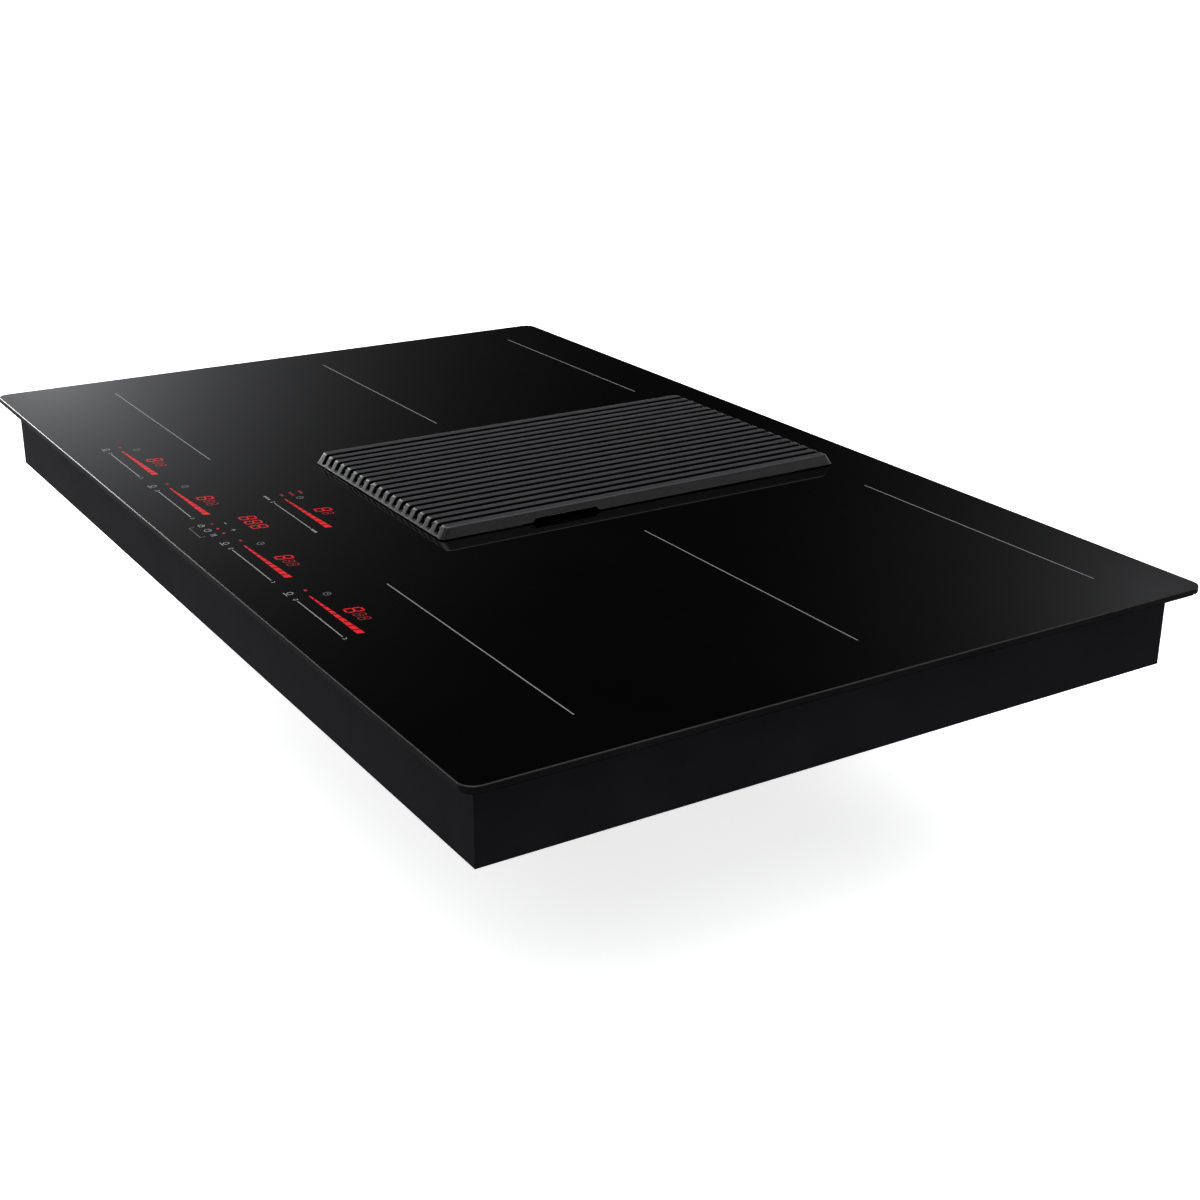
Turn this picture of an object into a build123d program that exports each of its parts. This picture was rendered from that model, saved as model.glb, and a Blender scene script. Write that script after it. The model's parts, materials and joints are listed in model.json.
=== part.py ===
from build123d import *
from math import cos, radians, sin
import os

# Downdraft induction cooktop. Millimetres, +X right, +Y to the back, +Z up.
# The origin is the centre of the worktop cut-out, on the worktop's upper face.

# ---- Ceramic glass and the seal under its rim ----
glass_width = 830.0
glass_depth = 515.0
glass_thickness = 4.0
glass_corner = 9.0
glass_top_bevel = 0.7
glass_under_bevel = 0.4
seal_thickness = 1.5
seal_width = 9.0
seal_setback = 1.5

# ---- Air intake opening in the glass ----
intake_width = 182.0
intake_front_margin = 160.5
intake_back_margin = 48.0
intake_corner = 12.0

# ---- Slatted intake grille ----
grille_overlap_x = 9.5
grille_overlap_y = 10.0
grille_height = 8.5
grille_lift = 0.7
grille_corner = 3.0
grille_end_lean = 5.0
grille_side_lean = 1.5
grille_wall = 2.5
grille_top_wall = 3.0
grille_rail = 1.3
slat_count = 19
slat_pitch = 10.5
slot_width = 5.0
slat_arris = 0.5
slot_foot_bevel = 1.4
grille_rib_count = 3
grille_rib = 2.0
grille_rib_pitch = 78.0
notch_y = -11.6
notch_length = 52.5
notch_height = 3.0
notch_slope = 3.0
lug_length = 16.0
lug_thickness = 2.0
lug_depth = 3.0
pad_length = 24.0
pad_width = 1.7
pad_depth = 0.6
rest_gap = 0.3

# ---- Intake collar bonded into the glass opening ----
collar_gap = 1.0
collar_wall = 2.0
collar_depth = 13.5
collar_flange = 8.0
collar_flange_thickness = 2.0
collar_ledge = 3.0
collar_ledge_thickness = 2.0
collar_sink = 0.3

# ---- Intake well through the casing ----
well_gap = 3.0
well_wall = 2.5
well_corner = 15.0
well_flange = 10.0
well_flange_thickness = 2.0
well_hole_clearance = 1.0
gasket_thickness = 2.0
gasket_width = 4.5
tray_post = 9.0

# ---- Grease filter: a windowed basket with a fine mesh basket inside ----
basket_clearance = 0.6
basket_rim_thickness = 1.5
basket_rim_width = 3.4
basket_depth = 46.0
basket_taper = 8.0
basket_wall = 1.2
basket_corner = 9.0
basket_window_width = 22.0
basket_window_pitch = 32.0
basket_window_height = 30.0
basket_window_lift = 8.0
inner_basket_gap = 5.0
inner_basket_lift = 4.0
insert_clearance = 0.2
grip_width = 14.0
grip_thickness = 2.0

# ---- Drip tray under the filter ----
tray_inset_x = 19.0
tray_inset_y = 19.25
tray_height = 22.0
tray_wall = 1.5
tray_corner = 12.0
tray_taper = 4.0
tray_gap = 4.0
tray_rim = 3.0

# ---- Blower housing ----
housing_top_drop = 103.0
housing_height = 87.0
housing_wall = 2.5
fan_setback = 141.5
scroll_start_radius = 105.0
scroll_end_radius = 150.0
scroll_start_angle = 125.0
scroll_arcs = 4
outlet_width = 215.0
outlet_margin = 2.0
inlet_radius = 70.0
inlet_lip = 4.5
inlet_lip_wall = 2.0
ear_size = 12.0
ear_thickness = 4.0
ear_angles = (185.0, 235.0, 285.0, 335.0)

# ---- Impeller ----
wheel_radius = 92.0
wheel_eye_radius = 72.0
wheel_blades = 7
blade_thickness = 2.0
blade_camber = 7.0
blade_sweep = -42.0
wheel_top_gap = 2.0
wheel_ring = 2.5
wheel_floor_gap = 9.5
wheel_backplate = 2.0
hub_wall = 2.5

# ---- Blower motor, external rotor ----
mount_height = 3.0
mount_radius = 7.0
motor_base_radius = 50.0
motor_base_thickness = 2.5
motor_mounts = 3
motor_mount_pitch_radius = 40.0
cup_radius = 46.0
cup_wall = 2.0
cup_base_gap = 1.5
cup_height = 30.5
magnet_thickness = 1.4
air_gap = 1.0
stator_teeth = 6
stator_stack = 15.0
stator_hub_radius = 20.0
tooth_width = 6.0
tooth_tip = 3.0
tooth_tip_width = 24.0
winding_thickness = 4.0
shaft_radius = 4.0
shaft_clearance = 1.0
bearing_clearance = 0.04
bearing_radius = 8.0
bearing_length = 6.0
tube_wall = 2.5

# ---- Outlet spigot for a flat duct, and its flaps ----
spigot_length = 26.0
spigot_insert = 24.0
spigot_insert_gap = 0.2
spigot_wall = 2.0
spigot_flange = 8.0
spigot_flange_thickness = 2.5
flap_thickness = 1.6
flap_pin_radius = 1.5
flap_pin_clearance = 0.05
flap_setback = 5.0
flap_top_gap = 3.0
flap_side_gap = 1.0
flap_end_gap = 0.8
flap_stop_width = 3.0
flap_stop_depth = 2.4

# ---- Sheet-metal casing ----
casing_inset_x = 17.5
casing_inset_y = 13.0
casing_height = 51.8
casing_sheet = 1.0
casing_rim = 9.0
casing_foot = 8.0
clamp_inset = 12.5
clamp_hole_radius = 2.1
vent_slot_width = 5.0
vent_slot_length = 32.0
vent_slot_pitch = 20.0
vent_slot_count = 6
vent_offset = 54.5
vent_inset = 29.5
fan_slot_width = 6.0
fan_slot_pitch = 14.0
fan_slot_count = 5

# ---- Cooking zones: two pairs, from the printed marks ----
zone_inset = 137.0
zone_front_inset = 86.9
zone_rear_inset = 49.7
insulation_thickness = 0.8
coil_width = 206.0
coil_spacing = 13.2
coil_corner = 60.0
coil_thickness = 4.5
coil_eye_width = 58.0
coil_eye_depth = 34.0
coil_eye_cut = 10.0
ferrite_count = 6
ferrite_width = 12.0
ferrite_length = 50.0
ferrite_thickness = 4.5
ferrite_start = 26.0
coil_plate_width = 236.0
coil_plate_margin = 12.8
coil_plate_sheet = 1.5
sensor_radius = 5.0
sensor_hole_radius = 7.0
spring_inset = 12.0
spring_width = 12.0
spring_foot = 16.0
spring_sheet = 1.0

# ---- Power electronics in each side bay ----
board_thickness = 1.6
board_lift = 8.0
board_width = 220.0
board_front_gap = 8.0
board_back_gap = 20.0
carrier_thickness = 2.0
carrier_margin = 3.0
carrier_window = 20.0
carrier_post = 8.0
sink_width = 70.0
sink_length = 170.0
sink_height = 25.0
sink_base = 4.0
sink_fins = 9
sink_fin = 1.6
sink_margin = 3.0
transistor_count = 4
transistor_size = (5.0, 16.0, 20.0)
transistor_pitch = 38.0
capacitor_count = 3
capacitor_size = (18.0, 32.0, 22.0)
capacitor_pitch = 50.0
capacitor_offset = 66.0
capacitor_row = 30.0
choke_radius = 20.0
choke_bore = 9.0
choke_height = 18.0
choke_offset = 72.0
choke_inset = 55.0

# ---- Cooling fans ----
cooler_size = 80.0
cooler_height = 20.0
cooler_bore_radius = 37.5
cooler_inset = 104.5
cooler_hub_radius = 16.0
cooler_tip_gap = 1.5
cooler_blades = 5
cooler_blade_thickness = 1.4
cooler_blade_pitch = 30.0
cooler_strut = 5.0
cooler_strut_count = 3
cooler_strut_thickness = 2.5
cooler_pin_radius = 2.0
cooler_float = 0.8
cooler_overlap = 1.0

# ---- Mains side ----
mains_board_width = 160.0
mains_board_depth = 60.0
mains_board_inset = 44.5
terminal_offset = 68.0
terminal_width = 70.0
terminal_depth = 26.0
terminal_height = 18.0
terminal_poles = 5
terminal_pole_size = 7.0
terminal_cover_wall = 1.5
terminal_cover_gap = 2.0
gland_inset_x = 67.5
gland_inset_y = 39.5
gland_bore = 7.0
gland_thread_radius = 10.0
gland_nut = 26.0
gland_nut_height = 6.0
gland_length = 12.0

# ---- Touch controls under the front of the glass ----
touch_board_width = 464.0
touch_board_depth = 47.0
touch_setback = 44.0
touch_block_width = 124.0
touch_block_depth = 60.0
light_thickness = 4.5
light_wall = 2.0
slider_x = (-168.0, -64.0, 77.0, 182.0)
slider_light_width = 78.0
slider_light_depth = 24.0
slider_light_offset = 1.5
timer_light_width = 40.0
timer_light_depth = 38.0
timer_light_offset = 5.5
vent_light_width = 96.0
vent_light_depth = 24.0
vent_light_offset = 61.5
holder_thickness = 2.5
holder_post = 7.0
holder_post_x = (-215.0, -122.0, -30.0, 30.0, 122.0, 215.0)
holder_post_offset = -14.5

# ---- Hexagon screws ----
screw_radius = 1.9
screw_hole_clearance = 0.15
screw_head_radius = 3.5
screw_head_height = 2.4
screw_length = 7.0

# ---- Flat left on an edge that a chamfer almost takes away ----
edge_left = 0.2

# ---- Flats on hidden round forms and corners, which keep the mesh light ----
drum_sides = 16
wheel_sides = 30
hole_sides = 8
corner_flats = 3
blade_flats = 4

# ---- Levels and places that follow from the sizes above ----
glass_under = seal_thickness
casing_width = glass_width - 2 * casing_inset_x
casing_depth = glass_depth - 2 * casing_inset_y
intake_depth = glass_depth - intake_front_margin - intake_back_margin
intake_y = (intake_front_margin - intake_back_margin) / 2
grille_width = intake_width + 2 * grille_overlap_x
grille_length = intake_depth + 2 * grille_overlap_y
tray_width = intake_width - 2 * tray_inset_x
tray_depth = intake_depth - 2 * tray_inset_y
glass_top = glass_under + glass_thickness
casing_bottom = glass_under - casing_height
casing_floor = casing_bottom + casing_sheet
grille_bottom = glass_top + grille_lift
grille_top = glass_top + grille_height
collar_width = intake_width - 2 * collar_gap
collar_length = intake_depth - 2 * collar_gap
collar_corner = intake_corner - collar_gap
collar_inner_width = collar_width - 2 * collar_wall
collar_inner_length = collar_length - 2 * collar_wall
collar_bottom = glass_under - collar_depth
ledge_top = collar_bottom + collar_ledge_thickness
well_top = glass_under - collar_flange_thickness - gasket_thickness
well_inner_width = collar_width + 2 * well_gap
well_inner_length = collar_length + 2 * well_gap
well_width = well_inner_width + 2 * well_wall
well_length = well_inner_length + 2 * well_wall
housing_top = -housing_top_drop
housing_bottom = housing_top - housing_height
housing_floor = housing_bottom + housing_wall
housing_split = (housing_top + housing_bottom) / 2
plate_under = housing_top - housing_wall
basket_rim_top = ledge_top + rest_gap + basket_rim_thickness
basket_outer_width = collar_inner_width - 2 * basket_clearance - 2 * basket_rim_width
basket_outer_length = collar_inner_length - 2 * basket_clearance - 2 * basket_rim_width
basket_bottom = basket_rim_top - basket_depth
tray_top = basket_bottom - tray_gap
tray_bottom = tray_top - tray_height
fan_y = intake_y - well_length / 2 + fan_setback
outlet_y = intake_y + well_length / 2 + outlet_margin
outlet_right = scroll_end_radius
outlet_left = outlet_right - outlet_width
outlet_middle = (outlet_left + outlet_right) / 2
spigot_end = outlet_y + spigot_length
zone_x = casing_width / 2 - zone_inset
zones_front = zone_front_inset - glass_depth / 2
zones_rear = glass_depth / 2 - zone_rear_inset
zones_y = (zones_front + zones_rear) / 2
zone_pitch = (zones_rear - zones_front) / 2
zone_front_y = zones_y - zone_pitch / 2
zone_rear_y = zones_y + zone_pitch / 2
coil_depth = zone_pitch - coil_spacing
coil_plate_depth = 2 * (zone_pitch + coil_plate_margin)
coil_top = glass_under - insulation_thickness
ferrite_top = coil_top - coil_thickness
coil_plate_top = ferrite_top - ferrite_thickness
coil_plate_under = coil_plate_top - coil_plate_sheet
cooler_y = cooler_inset - casing_depth / 2
mains_board_y = casing_depth / 2 - mains_board_inset
board_front = cooler_y + cooler_size / 2 + board_front_gap
board_back = mains_board_y - mains_board_depth / 2 - board_back_gap
board_depth = board_back - board_front
board_y = (board_front + board_back) / 2
sink_y = board_front + sink_margin + sink_length / 2
gland_x = gland_inset_x - casing_width / 2
gland_y = casing_depth / 2 - gland_inset_y
terminal_x = gland_x + terminal_offset
touch_board_y = touch_setback - glass_depth / 2
board_under = casing_floor + board_lift
board_top = board_under + board_thickness
touch_board_top = glass_under - light_thickness
touch_board_under = touch_board_top - board_thickness
screw_hole_radius = screw_radius + screw_hole_clearance


# ---- Shapes used by several pieces ----
def block(x0, x1, y0, y1, z0, z1):
    return Pos((x0 + x1) / 2, (y0 + y1) / 2, (z0 + z1) / 2) * Box(x1 - x0, y1 - y0, z1 - z0)


def centred_block(size, x, y, z0):
    return Pos(x, y, z0 + size[2] / 2) * Box(*size)


def sheet(width, depth, z0, z1, x=0.0, y=0.0):
    # square-cornered plate
    return centred_block((width, depth, z1 - z0), x, y, z0)


def softened(width, depth, corner, x, y, z):
    # a level rectangle whose round corners are drawn as short flats
    points = []
    for turn, sx, sy in ((0, 1, 1), (90, -1, 1), (180, -1, -1), (270, 1, -1)):
        for step in range(corner_flats + 1):
            angle = radians(turn + 90.0 * step / corner_flats)
            points.append((x + sx * (width / 2 - corner) + corner * cos(angle),
                           y + sy * (depth / 2 - corner) + corner * sin(angle)))
    return Pos(0, 0, z) * make_face(Polyline(*points, close=True))


def slab(width, depth, corner, z0, z1, x=0.0, y=0.0):
    # round-cornered plate
    return extrude(softened(width, depth, corner, x, y, z0), z1 - z0)


def frame(width, depth, corner, wall, z0, z1, x=0.0, y=0.0):
    # a rounded rectangular ring, measured over its outside; a wide one is square inside
    if corner > wall:
        inner = slab(width - 2 * wall, depth - 2 * wall, corner - wall, z0, z1, x, y)
    else:
        inner = sheet(width - 2 * wall, depth - 2 * wall, z0, z1, x, y)
    return slab(width, depth, corner, z0, z1, x, y) - inner


def disc(radius, z0, z1, x=0.0, y=0.0):
    return Pos(x, y, (z0 + z1) / 2) * Cylinder(radius, z1 - z0)


def trapezium(width, draw, z0, z1):
    # a side view: width at z0, drawn in at both ends at z1
    half = width / 2
    return make_face(Polyline((-half, z0), (half, z0), (half - draw, z1), (draw - half, z1), close=True))


def leaning(width, depth, corner, z0, z1, draw_x, draw_y, y=0.0):
    # a body whose walls lean in by draw_x and draw_y from z0 to z1, square or round at its corners
    front = extrude(Plane.XZ * trapezium(width, draw_x, z0, z1), depth, both=True)
    side = extrude(Plane.YZ * trapezium(depth, draw_y, z0, z1), width, both=True)
    body = front & side
    if corner > 0:
        upright = body.edges().filter_by(lambda edge: abs(edge.tangent_at(0.5).Z) > cos(radians(60)))
        body = fillet(upright, corner)
    return Pos(0, y, 0) * body


def prism(radius, sides, z0, z1, x=0.0, y=0.0):
    return Pos(x, y, z0) * extrude(RegularPolygon(radius, sides), z1 - z0)


def drum(radius, z0, z1, x=0.0, y=0.0):
    return prism(radius, drum_sides, z0, z1, x, y)


def drum_ring(outer, inner, z0, z1, x=0.0, y=0.0):
    return drum(outer, z0, z1, x, y) - drum(inner, z0, z1, x, y)


def screw(x, y, z):
    # hexagon-head screw pointing down, seated at height z
    head = prism(screw_head_radius, 6, z, z + screw_head_height, x, y)
    return head + prism(screw_radius, 6, z - screw_length, z, x, y)


def screw_holes(places, z0, z1):
    return [prism(screw_hole_radius, hole_sides, z0, z1, x, y) for x, y in places]


def without(body, cutters):
    for cutter in cutters:
        body -= cutter
    return body


def group(solids):
    return Compound(children=list(solids))


# ---- Top: glass and seal ----
def ceramic_glass():
    outline = Pos(0, 0, glass_under) * RectangleRounded(glass_width, glass_depth, glass_corner)
    glass = extrude(outline, glass_thickness)
    glass = chamfer(glass.faces().sort_by(Axis.Z)[-1].outer_wire().edges(), glass_top_bevel)
    glass = chamfer(glass.faces().sort_by(Axis.Z)[0].outer_wire().edges(), glass_under_bevel)
    opening = Pos(0, intake_y, glass_under) * RectangleRounded(intake_width, intake_depth, intake_corner)
    return glass - extrude(opening, glass_thickness)


def rim_seal():
    width = glass_width - 2 * seal_setback
    depth = glass_depth - 2 * seal_setback
    return frame(width, depth, glass_corner - seal_setback, seal_width, 0, glass_under)


# ---- Grille ----
def grille_shell():
    # outside with leaning walls and rounded corners, hollowed from below
    outside = leaning(grille_width, grille_length, grille_corner, grille_bottom, grille_top,
                      grille_side_lean, grille_end_lean, intake_y)
    inside = leaning(grille_width - 2 * grille_wall, grille_length - 2 * grille_wall, 0,
                     grille_bottom, grille_top - grille_top_wall, grille_side_lean, grille_end_lean, intake_y)
    return outside - inside


def slot_cutter(x):
    # one long slot: open top with broken arrises, and a narrowed bottom just above the base rail
    half = slot_width / 2
    foot = half - slot_foot_bevel
    low = grille_bottom + grille_rail
    high = grille_top - slat_arris
    over = grille_top + slat_arris
    right = [(x + foot, low), (x + half, low + slot_foot_bevel), (x + half, high),
             (x + half + 2 * slat_arris, over)]
    left = [(2 * x - px, pz) for px, pz in reversed(right)]
    section = Plane.XZ * make_face(Polyline(*right, *left, close=True))
    return Pos(0, intake_y, 0) * extrude(section, grille_length, both=True)


def notch_cutter():
    # the finger notch in the foot of both side walls
    half = notch_length / 2
    low = grille_bottom - notch_height
    high = grille_bottom + notch_height
    points = [(notch_y - half - notch_slope, low), (notch_y - half + notch_slope, high),
              (notch_y + half - notch_slope, high), (notch_y + half + notch_slope, low)]
    section = Plane.YZ * make_face(Polyline(*points, close=True))
    return extrude(section, grille_width, both=True)


def pad_places():
    x = grille_width / 2 - grille_wall / 2
    y = grille_length / 2 - 2 * pad_length
    return [(sx * x, intake_y + sy * y) for sx in (-1, 1) for sy in (-1, 1)]


def pad(x, y, z0, z1):
    return centred_block((pad_width, pad_length, z1 - z0), x, y, z0)


def grille():
    body = grille_shell()
    spread = (slat_count - 2) / 2
    for index in range(slat_count - 1):
        body -= slot_cutter((index - spread) * slat_pitch)
    body -= notch_cutter()
    rib_top = grille_top - grille_top_wall
    # the ribs end inside the leaning side walls
    rib_width = grille_width - 2 * grille_wall - grille_side_lean / 2
    lug_x = collar_inner_width / 2 - basket_clearance - lug_thickness / 2
    middle = (grille_rib_count - 1) / 2
    for index in range(grille_rib_count):
        y = intake_y + (index - middle) * grille_rib_pitch
        rib = centred_block((rib_width, grille_rib, rib_top - grille_bottom - grille_rail), 0, y,
                            grille_bottom + grille_rail)
        body += rib
        if index != middle:
            for side in (-1, 1):
                size = (lug_thickness, lug_length, rib_top - glass_top + lug_depth)
                body += centred_block(size, side * lug_x, y, glass_top - lug_depth)
    for x, y in pad_places():
        body -= pad(x, y, grille_bottom, grille_bottom + pad_depth)
    return body


def grille_pads():
    return group(pad(x, y, glass_top + rest_gap, grille_bottom + pad_depth) for x, y in pad_places())


# ---- Collar, gasket and well ----
def intake_collar():
    body = frame(collar_width, collar_length, collar_corner, collar_wall, collar_bottom,
                 glass_top - collar_sink, y=intake_y)
    flange_width = intake_width + 2 * collar_flange
    flange_length = intake_depth + 2 * collar_flange
    body += frame(flange_width, flange_length, intake_corner + collar_flange, collar_flange + collar_gap,
                  glass_under - collar_flange_thickness, glass_under, y=intake_y)
    body += frame(collar_width, collar_length, collar_corner, collar_wall + collar_ledge,
                  collar_bottom, ledge_top, y=intake_y)
    return body


def well_gasket():
    width = well_inner_width + 2 * gasket_width
    length = well_inner_length + 2 * gasket_width
    return frame(width, length, well_corner, gasket_width, well_top,
                 well_top + gasket_thickness, y=intake_y)


def well_screw_places():
    x = well_width / 2 + well_flange / 2
    y = well_length / 4
    return [(sx * x, intake_y + sy * y) for sx in (-1, 1) for sy in (-1, 1)]


def post_places():
    x = tray_width / 2 - tray_taper - tray_post
    y = tray_depth / 2 - tray_taper - tray_post
    return [(sx * x, intake_y + sy * y) for sx in (-1, 1) for sy in (-1, 1)]


def intake_well():
    body = frame(well_width, well_length, well_corner, well_wall, housing_top, well_top, y=intake_y)
    flange = sheet(well_width + 2 * well_flange, well_length + 2 * well_flange, casing_floor,
                   casing_floor + well_flange_thickness, y=intake_y)
    body += flange - slab(well_width, well_length, well_corner, casing_floor,
                          casing_floor + well_flange_thickness, y=intake_y)
    return without(body, screw_holes(well_screw_places(), casing_floor, casing_floor + well_flange_thickness))


def well_screws():
    return group(screw(x, y, casing_floor + well_flange_thickness) for x, y in well_screw_places())


# ---- Grease filter and drip tray ----
def basket_shell(inset, bottom, top):
    # open basket with leaning walls; inset is measured in from the outer basket's outside
    width = basket_outer_width - 2 * inset
    length = basket_outer_length - 2 * inset
    wall = basket_wall
    lean = basket_taper
    outside = leaning(width, length, basket_corner, top, bottom, lean, lean, intake_y)
    inside = leaning(width - 2 * wall, length - 2 * wall, basket_corner - wall, top, bottom + wall,
                     lean - wall / 2, lean - wall / 2, intake_y)
    return outside - inside


def basket_windows():
    # windows through the four walls, clear of the corners
    z0 = basket_bottom + basket_window_lift
    z1 = z0 + basket_window_height
    reach_x = basket_outer_width / 2 - basket_taper - basket_corner - basket_window_pitch / 2
    reach_y = basket_outer_length / 2 - basket_taper - basket_corner - basket_window_pitch / 2
    cutters = []
    for index in range(-int(reach_x // basket_window_pitch), int(reach_x // basket_window_pitch) + 1):
        x = index * basket_window_pitch
        cutters.append(block(x - basket_window_width / 2, x + basket_window_width / 2,
                             intake_y - basket_outer_length, intake_y + basket_outer_length, z0, z1))
    for index in range(-int(reach_y // basket_window_pitch), int(reach_y // basket_window_pitch) + 1):
        y = intake_y + index * basket_window_pitch
        cutters.append(block(-basket_outer_width, basket_outer_width,
                             y - basket_window_width / 2, y + basket_window_width / 2, z0, z1))
    return cutters


def filter_basket():
    body = basket_shell(0, basket_bottom, basket_rim_top)
    rim_width = basket_outer_width + 2 * basket_rim_width
    rim_length = basket_outer_length + 2 * basket_rim_width
    body += frame(rim_width, rim_length, basket_corner + basket_rim_width / 2, basket_rim_width + basket_wall,
                  basket_rim_top - basket_rim_thickness, basket_rim_top, y=intake_y)
    return without(body, basket_windows())


def filter_mesh():
    # the fine steel mesh, formed as a second basket that hangs inside the first
    bottom = basket_bottom + basket_wall + inner_basket_lift
    top = basket_rim_top - basket_rim_thickness
    body = basket_shell(inner_basket_gap, bottom, top)
    reach = basket_wall + basket_taper * 2 * basket_rim_thickness / basket_depth + insert_clearance
    body += frame(basket_outer_width - 2 * reach, basket_outer_length - 2 * reach, basket_corner,
                  inner_basket_gap + basket_wall - reach, top - basket_rim_thickness, top, y=intake_y)
    return body


def filter_grip():
    # the bar across the basket that lifts it out
    half = basket_outer_width / 2 + basket_rim_width / 2
    z = basket_rim_top
    return block(-half, half, intake_y - grip_width / 2, intake_y + grip_width / 2, z, z + grip_thickness)


def drip_tray():
    wall = tray_wall
    outside = leaning(tray_width, tray_depth, tray_corner, tray_top, tray_bottom, tray_taper, tray_taper,
                      intake_y)
    inside = leaning(tray_width - 2 * wall, tray_depth - 2 * wall, tray_corner - wall, tray_top,
                     tray_bottom + wall, tray_taper, tray_taper, intake_y)
    rim = frame(tray_width + 2 * tray_rim, tray_depth + 2 * tray_rim, tray_corner + tray_rim,
                tray_rim + wall, tray_top - wall, tray_top, y=intake_y)
    return outside - inside + rim


# ---- Blower housing ----
def polar(radius, angle):
    return (radius * cos(radians(angle)), fan_y + radius * sin(radians(angle)))


def spiral(share, grow):
    # a point on the spiral, share of the way from the tongue to the outlet
    radius = scroll_start_radius + (scroll_end_radius - scroll_start_radius) * share + grow
    return polar(radius, scroll_start_angle + (360.0 - scroll_start_angle) * share)


def scroll_outline(grow):
    # the spiral wall from the tongue round to the outlet; grow moves it outwards by a wall
    left = outlet_left - grow
    right = outlet_right + grow
    back = outlet_y
    points = [spiral(step / (2 * scroll_arcs), grow) for step in range(2 * scroll_arcs + 1)]
    tongue = points[0]
    with BuildSketch() as outline:
        with BuildLine():
            for start, middle, end in zip(points[0::2], points[1::2], points[2::2]):
                ThreePointArc(start, middle, end)
            Line(points[-1], (right, back))
            Line((right, back), (left, back))
            Line((left, back), (left, tongue[1] + grow))
            Line((left, tongue[1] + grow), tongue)
        make_face()
    return outline.sketch


def housing_wall_ring(z0, z1):
    outer = Pos(0, 0, z0) * extrude(scroll_outline(housing_wall), z1 - z0)
    inner = Pos(0, 0, z0) * extrude(scroll_outline(0), z1 - z0)
    return outer - inner


def ear_places():
    # places of the screws that join the two halves, just outside the wall, each with its turn
    reach = housing_wall + screw_head_radius + screw_hole_clearance
    places = []
    for angle in ear_angles:
        share = (angle - scroll_start_angle) / (360.0 - scroll_start_angle)
        places.append((*spiral(share, reach), angle))
    places.append((outlet_right + reach, fan_y + scroll_end_radius / 2, 0.0))
    places.append((outlet_left - reach, outlet_y - 3 * ear_size, 0.0))
    return places


def screw_places():
    return [(x, y) for x, y, turn in ear_places()]


def ears(z0, z1):
    return [Pos(x, y, 0) * Rot(0, 0, turn) * sheet(ear_size, ear_size, z0, z1)
            for x, y, turn in ear_places()]


def ear_trim(z0, z1):
    # what of the ears would stand inside the air path
    return Pos(0, 0, z0) * extrude(scroll_outline(0), z1 - z0)


def inlet_ring():
    # the mouth over the wheel: a hanging lip with a broken upper edge
    low = plate_under - inlet_lip
    ring = prism(inlet_radius + inlet_lip_wall, wheel_sides, low, housing_top, 0, fan_y)
    ring -= prism(inlet_radius, wheel_sides, low, housing_top, 0, fan_y)
    mouth = ring.faces().sort_by(Axis.Z)[-1].inner_wires()[0]
    return chamfer(mouth.edges(), inlet_lip_wall - edge_left)


def housing_upper():
    lid = Pos(0, 0, plate_under) * extrude(scroll_outline(housing_wall), housing_wall)
    lid += slab(well_width, well_length, well_corner, plate_under, housing_top, y=intake_y)
    lid += housing_wall_ring(housing_split, housing_top)
    lid += outlet_flange(housing_split, housing_top)
    for ear in ears(housing_split, housing_split + ear_thickness):
        lid += ear - ear_trim(housing_split, housing_split + ear_thickness)
    lid -= prism(inlet_radius + inlet_lip_wall / 2, wheel_sides, plate_under, housing_top, 0, fan_y)
    lid += inlet_ring()
    for x, y in post_places():
        lid += sheet(tray_post, tray_post, housing_top, tray_bottom - rest_gap, x, y)
    return without(lid, screw_holes(screw_places(), housing_split, housing_split + ear_thickness))


def housing_lower():
    tub = Pos(0, 0, housing_bottom) * extrude(scroll_outline(housing_wall), housing_wall)
    tub += housing_wall_ring(housing_bottom, housing_split)
    tub += outlet_flange(housing_bottom, housing_split)
    for ear in ears(housing_split - ear_thickness, housing_split):
        tub += ear - ear_trim(housing_split - ear_thickness, housing_split)
    return without(tub, screw_holes(screw_places(), housing_split - ear_thickness, housing_split))


def housing_screws():
    return group(screw(x, y, housing_split + ear_thickness) for x, y in screw_places())


# ---- Impeller and motor ----
wheel_top = plate_under - inlet_lip - wheel_top_gap
wheel_bottom = housing_floor + wheel_floor_gap
motor_base_top = housing_floor + mount_height + motor_base_thickness
cup_bottom = motor_base_top + cup_base_gap
cup_top = cup_bottom + cup_height
magnet_outer = cup_radius - cup_wall
magnet_inner = magnet_outer - magnet_thickness
stator_radius = magnet_inner - air_gap
stator_bottom = cup_bottom + 2 * cup_wall
stator_top = stator_bottom + stator_stack
bearing_tube_radius = bearing_radius + tube_wall
bearing_tube_top = cup_top - 2 * cup_wall


def impeller_blade():
    # one backward-curved blade, from just outside the hub to the rim
    root = Vector(cup_radius + hub_wall / 2, 0)
    tip = Vector(wheel_radius - blade_thickness, 0).rotate(Axis.Z, blade_sweep)
    chord = tip - root
    outward = chord.cross(Vector(0, 0, 1)).normalized()
    hollow = []
    for step in range(blade_flats + 1):
        share = step / blade_flats
        hollow.append(root + chord * share - outward * blade_camber * 4 * share * (1 - share))
    back = [point + outward * blade_thickness for point in reversed(hollow)]
    return extrude(make_face(Polyline(*hollow, *back, close=True)), wheel_top - wheel_bottom)


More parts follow.
